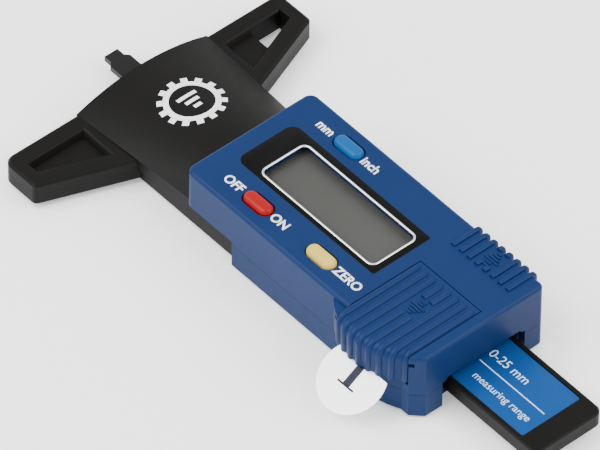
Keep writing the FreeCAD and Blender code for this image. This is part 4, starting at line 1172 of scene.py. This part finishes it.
@dataclass
class Housing:
    """Blue housing with its printed legends and the raised arrow in its right grip."""

    finishes: Finishes
    letter_height: float = 2.1
    gap_after: float = -0.2
    gap_before: float = 0.3
    word_drop: float = 0.1
    letter_stroke: float = 0.07
    letter_width: float = 0.95
    print_height: float = 0.04
    rib_rise: float = 0.5
    arrow_inset: float = 4.2

    def build(self) -> None:
        """Coat the shells, print the legends and raise the arrow."""
        coat(self.finishes.blue, "housing_top", "housing_bottom")
        self.legends()
        self.arrow()

    def arrow(self) -> None:
        """Model the hatched arrow on the right grip."""
        box = Span.of("housing_top")
        door = Span.of("battery_door")
        face = door.high.z - self.rib_rise * MM
        spot = Vector((door.middle.x, box.high.y - self.arrow_inset * MM, face))
        arrow = GripArrow("grip_arrow", spot, Side.RIGHT).build()
        dress(arrow, self.finishes.blue, Body.HOUSING, "blue_plastic")

    def legends(self) -> None:
        """Print the plain words beside the three buttons."""
        power, unit, zero = (Span.of(node) for node in ("power_button", "unit_button", "zero_button"))
        words = (
            ("legend_off", "OFF", power, Align.END),
            ("legend_on", "ON", power, Align.START),
            ("legend_mm", "mm", unit, Align.END),
            ("legend_inch", "inch", unit, Align.START),
            ("legend_zero", "ZERO", zero, Align.START),
        )
        for name, text, key, align in words:
            self.legend(name, text, key, align)

    def legend(self, name: str, text: str, key: Span, align: Align) -> None:
        """Print one word beside a button.

        Args:
            name: The piece's name.
            text: The word.
            key: The button's box.
            align: START where the word follows the button, END where it comes before it.
        """
        follows = align is Align.START
        edge = key.high.x + self.gap_after * MM if follows else key.low.x - self.gap_before * MM
        spot = Vector((edge, key.middle.y - self.word_drop * MM, Span.of("display_bezel").high.z))
        word = printed_word(
            name, text, spot, self.letter_height, self.print_height, align,
            self.letter_stroke, self.letter_width)
        dress(word, self.finishes.white, Body.HOUSING, "blue_plastic")


# ---------------------------------------------------------------- display


@dataclass
class Display:
    """Display: black bezel, silver line, clear window and the blank glass below it."""

    finishes: Finishes
    line_width: float = 0.5
    corner: float = 1.5
    bezel_corner: float = 2.1
    bezel_rear_corner: float = 0.65
    bezel_rise: float = 0.06
    bezel_edge: float = 0.12
    hole_edge: float = 0.01
    line_sink: float = 0.9  # share of the line's half width that lies below the view's top

    def build(self) -> None:
        """Coat the glass and model the frame round it."""
        coat(self.finishes.display, "lcd_glass")
        coat(self.finishes.window, "display_window")
        coat(self.finishes.bezel, "lcd_holder")
        coat(self.finishes.rubber, "zebra_connectors")
        self.silver_line()
        self.bezel()

    def silver_line(self) -> None:
        """Model the raised silver line as a round bead that follows the view's edge."""
        view = Span.of("bezel_trim")
        half = self.line_width * MM / 2
        inset = Vector((half, half, 0))
        low, high = view.low + inset, view.high - inset
        level = view.high.z - half * self.line_sink
        path = start(
            bpy.ops.mesh.primitive_plane_add, "bezel_trim_line", size=1,
            location=((low.x + high.x) / 2, (low.y + high.y) / 2, level))
        path.scale = (high.x - low.x, high.y - low.y, 1)
        settle(path)
        with editing(path, "VERT"):
            bpy.ops.mesh.select_all(action="SELECT")
            bpy.ops.mesh.bevel(offset=self.corner * MM, segments=CORNER_SEGMENTS, affect="VERTICES")
            bpy.ops.mesh.select_all(action="SELECT")
            bpy.ops.mesh.delete(type="ONLY_FACE")
        focus(path)
        bpy.ops.object.convert(target="CURVE")
        path.data.bevel_depth = half
        path.data.bevel_resolution = 4
        bpy.ops.object.convert(target="MESH")
        outward(path)
        smooth(path, 60)
        dress(path, self.finishes.silver, Body.HOUSING, "trim_silver", "bezel_trim")

    def bezel(self) -> None:
        """Model the bezel plate with a window cut out of it."""
        box = Span.of("display_bezel")
        view = Span.of("bezel_trim")
        top = Vector((0, 0, self.bezel_rise * MM))
        plate = rounded_plate(
            "display_bezel_plate", box.low, box.high + top, self.bezel_corner * MM, self.bezel_edge * MM,
            self.bezel_rear_corner * MM)
        drop = Vector((0, 0, MM))
        hole = rounded_plate(
            "bezel_hole", view.low - drop, view.high + drop, self.corner * MM, self.hole_edge * MM)
        combine(plate, hole, "DIFFERENCE")
        smooth(plate)
        dress(plate, self.finishes.bezel, Body.HOUSING, "bezel_black", "display_bezel")


# ---------------------------------------------------------------- keys


@dataclass
class Keys:
    """Three capsule keys with crowned tops."""

    finishes: Finishes
    flange: float = 0.62
    side_gap: float = 0.18
    shoulder: float = 0.8
    shoulder_round: float = 0.12
    crown: Sequence[Sequence[float]] = ((0.26, 0.55), (0.26, 0.35), (0.48, 0.1))  # insets, shares of the rise

    def build(self) -> None:
        """Model the keys."""
        self.key("power_button", self.finishes.red, Body.POWER_KEY, "button_red")
        self.key("unit_button", self.finishes.cyan, Body.UNIT_KEY, "button_blue")
        self.key("zero_button", self.finishes.yellow, Body.ZERO_KEY, "button_yellow")

    def key(self, node: str, material: bpy.types.Material, body: Body, slot: str) -> None:
        """Model one key from a capsule outline.

        Args:
            node: The frame's node that it stands for.
            material: Its plastic.
            body: The body that it rides on.
            slot: Its slot in the record.
        """
        box = Span.of(node)
        flange = self.flange * MM
        radius = box.size.y / 2 - flange - self.side_gap * MM
        straight = box.size.x / 2 - flange - radius
        base = box.low.z
        key = start(
            bpy.ops.mesh.primitive_circle_add, f"{node}_cap", vertices=48, radius=radius,
            fill_type="NGON", location=(box.middle.x, box.middle.y, base))
        settle(key)
        with editing(key, "VERT"):
            for side in (-1, 1):
                pick(key, "VERT", lambda spot, _: (spot.x - box.middle.x) * side > NEAR)
                move((side * straight, 0, 0))
        shoulder = box.high.z - self.shoulder * MM
        with editing(key, "FACE"):
            bpy.ops.mesh.select_all(action="SELECT")
            grow((0, 0, shoulder - base))
            for inset, share in self.crown:
                bpy.ops.mesh.inset(thickness=inset * MM)
                move((0, 0, self.shoulder * MM * share))
        outward(key)
        with editing(key, "EDGE"):
            pick(key, "EDGE", lambda spot, run: abs(spot.z - shoulder) < NEAR and abs(run.z) < 0.5)
            bpy.ops.mesh.bevel(offset=self.shoulder_round * MM, segments=2)
        smooth(key, 50)
        dress(key, material, body, slot, node)


# ---------------------------------------------------------------- battery door


@dataclass
class BatteryDoor:
    """Sliding cover with a bulged side, eight grip ribs and an arrow that shows how it opens."""

    finishes: Finishes
    flange: float = 0.9
    rib_rise: float = 0.5
    skirt: float = 1.4
    skirt_lift: float = 0.2
    side_wall: float = 2.2
    side_fit: float = 0.2
    plate: float = 1.6
    edge_round: float = 2.0
    bulge_radius: float = 15.26
    bulge_shift: float = 2.4
    rib_radius: float = 0.8
    rib_count: int = 8
    rib_margin: float = 1.0
    rib_inset: float = 0.7
    rib_lift: float = 0.3
    arrow_setback: float = 8.5
    arrow_room: float = 0.9
    arrow_touch: float = 0.3  # share of a rib's radius by which it may pass beside the arrow

    def __post_init__(self) -> None:
        """Work out the planes of the door, the middle of its bulge and its arrow."""
        box = Span.of("battery_door")
        self.front = box.low.x + self.flange * MM
        self.rear = box.high.x - self.flange * MM
        self.inner = box.high.y
        self.face = box.high.z - self.rib_rise * MM
        self.foot = box.low.z
        self.middle = (self.front + self.rear) / 2
        self.radius = self.bulge_radius * MM
        outmost = box.low.y + self.rib_rise * MM
        self.centre = Vector((self.middle - self.bulge_shift * MM, outmost + self.radius, 0))
        spot = Vector((self.middle, self.inner - self.arrow_setback * MM, self.face))
        self.arrow = GripArrow("door_arrow", spot, Side.LEFT)

    def build(self) -> None:
        """Model the door and its arrow."""
        door = join([self.cover(), *self.ribs()])
        smooth(door, 32)
        dress(door, self.finishes.blue, Body.DOOR, "blue_plastic", "battery_door")
        dress(self.arrow.build(), self.finishes.blue, Body.DOOR, "blue_plastic")

    def cover(self) -> bpy.types.Object:
        """Model the cover's plate and skirt from a disc that is cut to the bay.

        Returns:
            The cover, hollow below.
        """
        skirt_end = self.foot + self.skirt_lift * MM
        door = start(
            bpy.ops.mesh.primitive_circle_add, "battery_door_cover", vertices=160, radius=self.radius,
            fill_type="NGON", location=(self.centre.x, self.centre.y, skirt_end))
        settle(door)
        with editing(door, "FACE"):
            bpy.ops.mesh.select_all(action="SELECT")
            grow((0, 0, self.face - skirt_end))
        outward(door)
        planes = (
            ((self.front, 0, 0), (-1, 0, 0)),
            ((self.rear, 0, 0), (1, 0, 0)),
            ((0, self.inner, 0), (0, 1, 0)),
        )
        for spot, way in planes:
            with editing(door, "FACE"):
                bpy.ops.mesh.select_all(action="SELECT")
                bpy.ops.mesh.bisect(plane_co=spot, plane_no=way, use_fill=True, clear_outer=True)
        outward(door)
        on_arc = 0.02 * MM
        with editing(door, "EDGE"):
            pick(door, "EDGE", lambda spot, run: spot.z > self.face - NEAR and abs(
                math.hypot(spot.x - self.centre.x, spot.y - self.centre.y) - self.radius) < on_arc)
            bpy.ops.mesh.bevel(offset=self.edge_round * MM, segments=CORNER_SEGMENTS)
        self.hollow(door)
        return door

    def hollow(self, door: bpy.types.Object) -> None:
        """Cut away what lies under the plate and inside the skirt.

        Args:
            door: The solid cover.
        """
        ceiling = self.face - self.plate * MM
        height = ceiling - self.foot + MM
        middle = self.foot - MM + height / 2
        pouch = start(
            bpy.ops.mesh.primitive_cylinder_add, "door_pouch", vertices=96,
            radius=self.radius - self.skirt * MM, depth=height,
            location=(self.centre.x, self.centre.y, middle))
        combine(door, settle(pouch), "DIFFERENCE")
        side_wall = Span.of("housing_bottom").high.y - self.side_wall * MM
        depth = self.inner + side_wall + MM
        block = start(
            bpy.ops.mesh.primitive_cube_add, "door_room", size=1,
            location=(self.middle, -side_wall + depth / 2, middle))
        block.scale = (self.rear - self.front + 2 * MM, depth, height)
        combine(door, settle(block), "DIFFERENCE")

    def ribs(self) -> Iterator[bpy.types.Object]:
        """Model the ribs, each as long as the bulge lets it be.

        Yields:
            Each rib, from the front to the rear.
        """
        first = self.front + (self.rib_margin - self.side_fit) * MM
        run = self.rear - self.front + 2 * (self.side_fit - self.rib_margin) * MM
        radius = self.rib_radius * MM
        sunk = radius - self.rib_rise * MM
        level = self.face - sunk
        bend = self.edge_round * MM - sunk
        drop = level - bend - self.foot - self.rib_lift * MM
        for index in range(self.rib_count):
            place = first + index * run / (self.rib_count - 1)
            outside = self.centre.y - math.sqrt(self.radius ** 2 - (place - self.centre.x) ** 2)
            begin = Vector((place, self.inner - self.rib_inset * MM - radius, level))
            reach = outside + sunk + bend - begin.y
            bar = rounded_bar(f"door_rib_{index}", begin, reach, bend, drop, radius, Side.LEFT)
            cap_ends(bar, radius, Side.LEFT)
            if self.crosses_arrow(place):
                self.clear_for_arrow(bar)
            yield bar

    def crosses_arrow(self, place: float) -> bool:
        """Say whether a rib at a place along X runs through the arrow."""
        return abs(place - self.middle) < (self.arrow.width / 2 + self.rib_radius * self.arrow_touch) * MM

    def clear_for_arrow(self, bar: bpy.types.Object) -> None:
        """Cut a gap into a rib where the arrow lies.

        Args:
            bar: The rib.
        """
        gap = start(
            bpy.ops.mesh.primitive_cube_add, "arrow_gap", size=1,
            location=self.arrow.spot + Vector((0, 0, MM / 2)))
        gap.scale = (3 * self.arrow.width * MM, (self.arrow.length + self.arrow_room) * MM, 2 * MM)
        combine(bar, settle(gap), "DIFFERENCE")


# ---------------------------------------------------------------- slider


@dataclass(frozen=True)
class LabelWord:
    """One line of words on the label, placed from the label's rear end and middle."""

    name: str
    text: str
    setback: float
    offset: float
    height: float


@dataclass
class Slider:
    """Black beam with its copper scale, its label and the probe."""

    finishes: Finishes
    corner: float = 0.5
    sheet_edge: float = 0.05
    print_height: float = 0.03
    line_setback: float = 10.6
    line_offset: float = -0.5
    line_length: float = 18.3
    line_width: float = 0.22
    words: Sequence[LabelWord] = (
        LabelWord("label_metric", "0-25 mm", 14.6, 2.5, 2.1),
        LabelWord("label_range", "measuring range", 9.9, -3.7, 1.7),
    )

    def build(self) -> None:
        """Coat the beam and print its label."""
        coat(self.finishes.black, "beam")
        coat(self.finishes.probe, "depth_probe")
        coat(self.finishes.steel, "probe_rivets")
        coat(self.finishes.scale, "scale_strip")
        self.label()
        self.line()
        for word in self.words:
            self.print_word(word)

    def spot(self, setback: float, offset: float) -> Vector:
        """Give a place on the label, from its rear end and its middle, in millimetres."""
        box = Span.of("beam_label")
        return Vector((box.high.x - setback * MM, box.middle.y + offset * MM, box.high.z))

    def label(self) -> None:
        """Model the label sheet."""
        box = Span.of("beam_label")
        sheet = rounded_plate(
            "beam_label_sheet", box.low, box.high, self.corner * MM, self.sheet_edge * MM)
        smooth(sheet)
        dress(sheet, self.finishes.label, Body.SLIDER, "label_blue", "beam_label")

    def line(self) -> None:
        """Print the thin line between the two lines of words."""
        spot = self.spot(self.line_setback, self.line_offset)
        line = start(bpy.ops.mesh.primitive_plane_add, "label_line", size=MM, location=spot)
        line.scale = (self.line_length, self.line_width, 1)
        settle(line)
        sheet_of(line, self.print_height * MM)
        dress(line, self.finishes.line, Body.SLIDER, "label_blue")

    def print_word(self, word: LabelWord) -> None:
        """Print one line of words.

        Args:
            word: What it says and where it stands.
        """
        spot = self.spot(word.setback, word.offset)
        piece = printed_word(word.name, word.text, spot, word.height, self.print_height, Align.MIDDLE)
        dress(piece, self.finishes.line, Body.SLIDER, "label_blue")


# ---------------------------------------------------------------- pull tab


@dataclass
class PullTab:
    """Round plastic film that hangs out under the battery door."""

    finishes: Finishes
    bar: Sequence[float] = (1.7, 4.4)
    cross: Sequence[float] = (4.4, 0.35)
    foot_share: float = 0.62  # the sign's foot, as a share of the film's radius from its outer end
    print_height: float = 0.03

    def build(self) -> None:
        """Coat the film and print its mark."""
        coat(self.finishes.film, "pull_tab")
        box = Span.of("pull_tab")
        radius = box.size.x / 2
        foot = Vector((box.middle.x, box.low.y + radius * self.foot_share, box.high.z))
        self.mark("tab_bar", foot + Vector((0, self.bar[1] * MM / 2, 0)), self.bar)
        self.mark("tab_cross", foot, self.cross)

    def mark(self, name: str, spot: Vector, size: Sequence[float]) -> None:
        """Print one bar of the pull sign on the sloping film.

        Args:
            name: The piece's name.
            spot: The middle of the bar, above the film.
            size: Its extents along X and Y, in millimetres.
        """
        mark = start(bpy.ops.mesh.primitive_plane_add, name, size=MM, location=spot)
        mark.scale = (*size, 1)
        settle(mark)
        with editing(mark, "FACE"):
            bpy.ops.mesh.select_all(action="SELECT")
            bpy.ops.mesh.subdivide(number_cuts=6)
        lay_on(mark, "pull_tab", self.print_height)
        dress(mark, self.finishes.navy, Body.FILM, "film_white")


# ---------------------------------------------------------------- inside


@dataclass
class Works:
    """What lies inside the housing and isn't seen from outside."""

    finishes: Finishes

    def build(self) -> None:
        """Coat the inner nodes."""
        done = self.finishes
        coat(done.black, "guide_channel", "battery_holder")
        coat(done.board, "circuit_board")
        coat(done.copper, "sensor_pads")
        coat(done.chip, "controller_chip")
        coat(done.brass, "gib_strip")
        coat(
            done.steel, "stop_pin", "button_domes", "board_screws", "battery_cell",
            "contact_spring", "contact_clip")


@dataclass
class Fasteners:
    """Pan-head screws with cross recesses, seen in the back of the gauge."""

    finishes: Finishes
    shank_share: float = 0.54
    tip_share: float = 0.7
    head_rise: float = 1.0
    head_round: float = 0.25
    recess: Sequence[float] = (0.62, 0.16, 0.55)  # length, width and depth, as shares of the head

    def build(self) -> None:
        """Model the three groups of screws."""
        for node in ("foot_screws", "neck_screws", "case_screws"):
            self.group(node)

    def group(self, node: str) -> None:
        """Model one screw of a node and set a copy of it at each of its other places.

        Args:
            node: The node that the screws stand for.
        """
        places = islands(node)
        low, high = places[0]
        screw = self.screw(f"{node}_set", low, high)
        others = [
            copy_of(screw, f"{node}_{index}", place[0] - low)
            for index, place in enumerate(places[1:], start=1)
        ]
        screws = join([screw, *others])
        smooth(screws)
        dress(screws, self.finishes.steel, Body.HOUSING, "steel", node)

    def screw(self, name: str, low: Vector, high: Vector) -> bpy.types.Object:
        """Model one screw whose head looks down.

        Args:
            name: The new object's name.
            low: The lowest corner of the screw's box.
            high: The highest corner of the screw's box.

        Returns:
            The screw.
        """
        middle = (low + high) / 2
        radius = (high.x - low.x) / 2
        head = self.head_rise * MM
        screw = start(
            bpy.ops.mesh.primitive_circle_add, name, vertices=32, radius=radius, fill_type="NGON",
            location=(middle.x, middle.y, low.z))
        settle(screw)
        with editing(screw, "FACE"):
            bpy.ops.mesh.select_all(action="SELECT")
            grow((0, 0, head))
            bpy.ops.mesh.inset(thickness=radius * (1 - self.shank_share))
            grow((0, 0, high.z - low.z - head - radius * self.shank_share))
            bpy.ops.mesh.inset(thickness=radius * self.shank_share * self.tip_share)
            move((0, 0, radius * self.shank_share))
        outward(screw)
        with editing(screw, "EDGE"):
            pick(screw, "EDGE", lambda spot, run: spot.z < low.z + NEAR)
            bpy.ops.mesh.bevel(offset=self.head_round * MM, segments=EDGE_SEGMENTS)
        for turn in (0, 1):
            self.cut_recess(screw, middle, low.z, radius, turn)
        return screw

    def cut_recess(
        self, screw: bpy.types.Object, middle: Vector, level: float, radius: float, turn: int
    ) -> None:
        """Cut one bar of the cross recess into a head.

        Args:
            screw: The screw.
            middle: The middle of its box.
            level: The height of its head's outer face.
            radius: The head's radius.
            turn: The number of quarter turns of the bar.
        """
        length, width, depth = (share * 2 * radius for share in self.recess)
        bar = start(
            bpy.ops.mesh.primitive_cube_add, "recess", size=1, location=(middle.x, middle.y, level))
        bar.scale = (length, width, depth)
        bar.rotation_euler = (0, 0, turn * math.pi / 2)
        combine(screw, settle(bar), "DIFFERENCE")


# ---------------------------------------------------------------- studio


@dataclass(frozen=True)
class Lamp:
    """Soft square lamp: its place and width in metres and its power in watts."""

    name: str
    spot: Sequence[float]
    width: float
    power: float

    def hang(self) -> None:
        """Hang the lamp so that it faces the gauge."""
        lamp = start(bpy.ops.object.light_add, self.name, type="AREA", location=self.spot)
        lamp.data.size = self.width
        lamp.data.energy = self.power
        lamp.rotation_euler = (-Vector(self.spot)).to_track_quat("-Z", "Y").to_euler()


@dataclass
class Studio:
    """Pale floor, soft lights and the camera."""

    finishes: Finishes
    azimuth: float = 48.70
    elevation: float = 46.43
    roll: float = 0.655
    distance: float = 1898.0
    lens: float = 600.0
    sensor: float = 36.0
    aside: float = -7.326  # how far the camera stands beside and above the line to its target
    aloft: float = -3.853
    sky_strength: float = 1.5
    floor_gap: float = 0.03
    floor_width: float = 6000.0
    lamps: Sequence[Lamp] = (
        Lamp("key_light", (-0.25, -0.5, 0.75), 0.7, 13.0),
        Lamp("fill_light", (0.5, 0.35, 0.6), 0.6, 6.0),
    )

    def build(self) -> None:
        """Set up the floor, the lights and the camera."""
        self.floor()
        self.sky()
        for lamp in self.lamps:
            lamp.hang()
        self.camera()

    def floor(self) -> None:
        """Lay the paper under the gauge."""
        level = CAD_BOX[0][2] - self.floor_gap * MM
        floor = start(
            bpy.ops.mesh.primitive_plane_add, "studio_floor", size=self.floor_width * MM,
            location=(0, 0, level))
        floor.data.materials.append(self.finishes.paper)

    def sky(self) -> None:
        """Light the scene evenly from all round."""
        world = bpy.data.worlds.new("studio_sky")
        world.use_nodes = True
        backdrop = world.node_tree.nodes["Background"]
        backdrop.inputs["Color"].default_value = (1, 1, 1, 1)
        backdrop.inputs["Strength"].default_value = self.sky_strength
        bpy.context.scene.world = world

    def camera(self) -> None:
        """Aim the camera at the display."""
        view = Span.of("bezel_trim")
        target = Vector((view.middle.x, 0, Span.of("display_bezel").high.z))
        turn, lift, roll = (math.radians(angle) for angle in (self.azimuth, self.elevation, self.roll))
        level = Vector((-math.sin(turn), math.cos(turn), 0))
        upright = Vector((0, 0, 1))
        look = level * math.cos(lift) - upright * math.sin(lift)
        up = level * math.sin(lift) + upright * math.cos(lift)
        right = look.cross(up)
        right, up = (
            right * math.cos(roll) + up * math.sin(roll),
            up * math.cos(roll) - right * math.sin(roll),
        )
        place = target + (right * self.aside + up * self.aloft - look * self.distance) * MM
        camera = start(bpy.ops.object.camera_add, "camera", location=place)
        camera.data.lens = self.lens
        camera.data.sensor_width = self.sensor
        camera.data.clip_end = 20
        turned = Matrix((right, up, -look)).transposed().to_4x4()
        camera.matrix_world = Matrix.Translation(place) @ turned
        bpy.context.scene.camera = camera


def main() -> None:
    """Build every sub-assembly in order."""
    logging.basicConfig(level=logging.INFO, format="%(message)s")
    finishes = Finishes()
    for part in (Works, Fasteners, Foot, Housing, Display, Keys, BatteryDoor, Slider, PullTab, Studio):
        part(finishes).build()
        LOG.info("%s built", part.__name__)


if __name__ == "__main__":
    main()
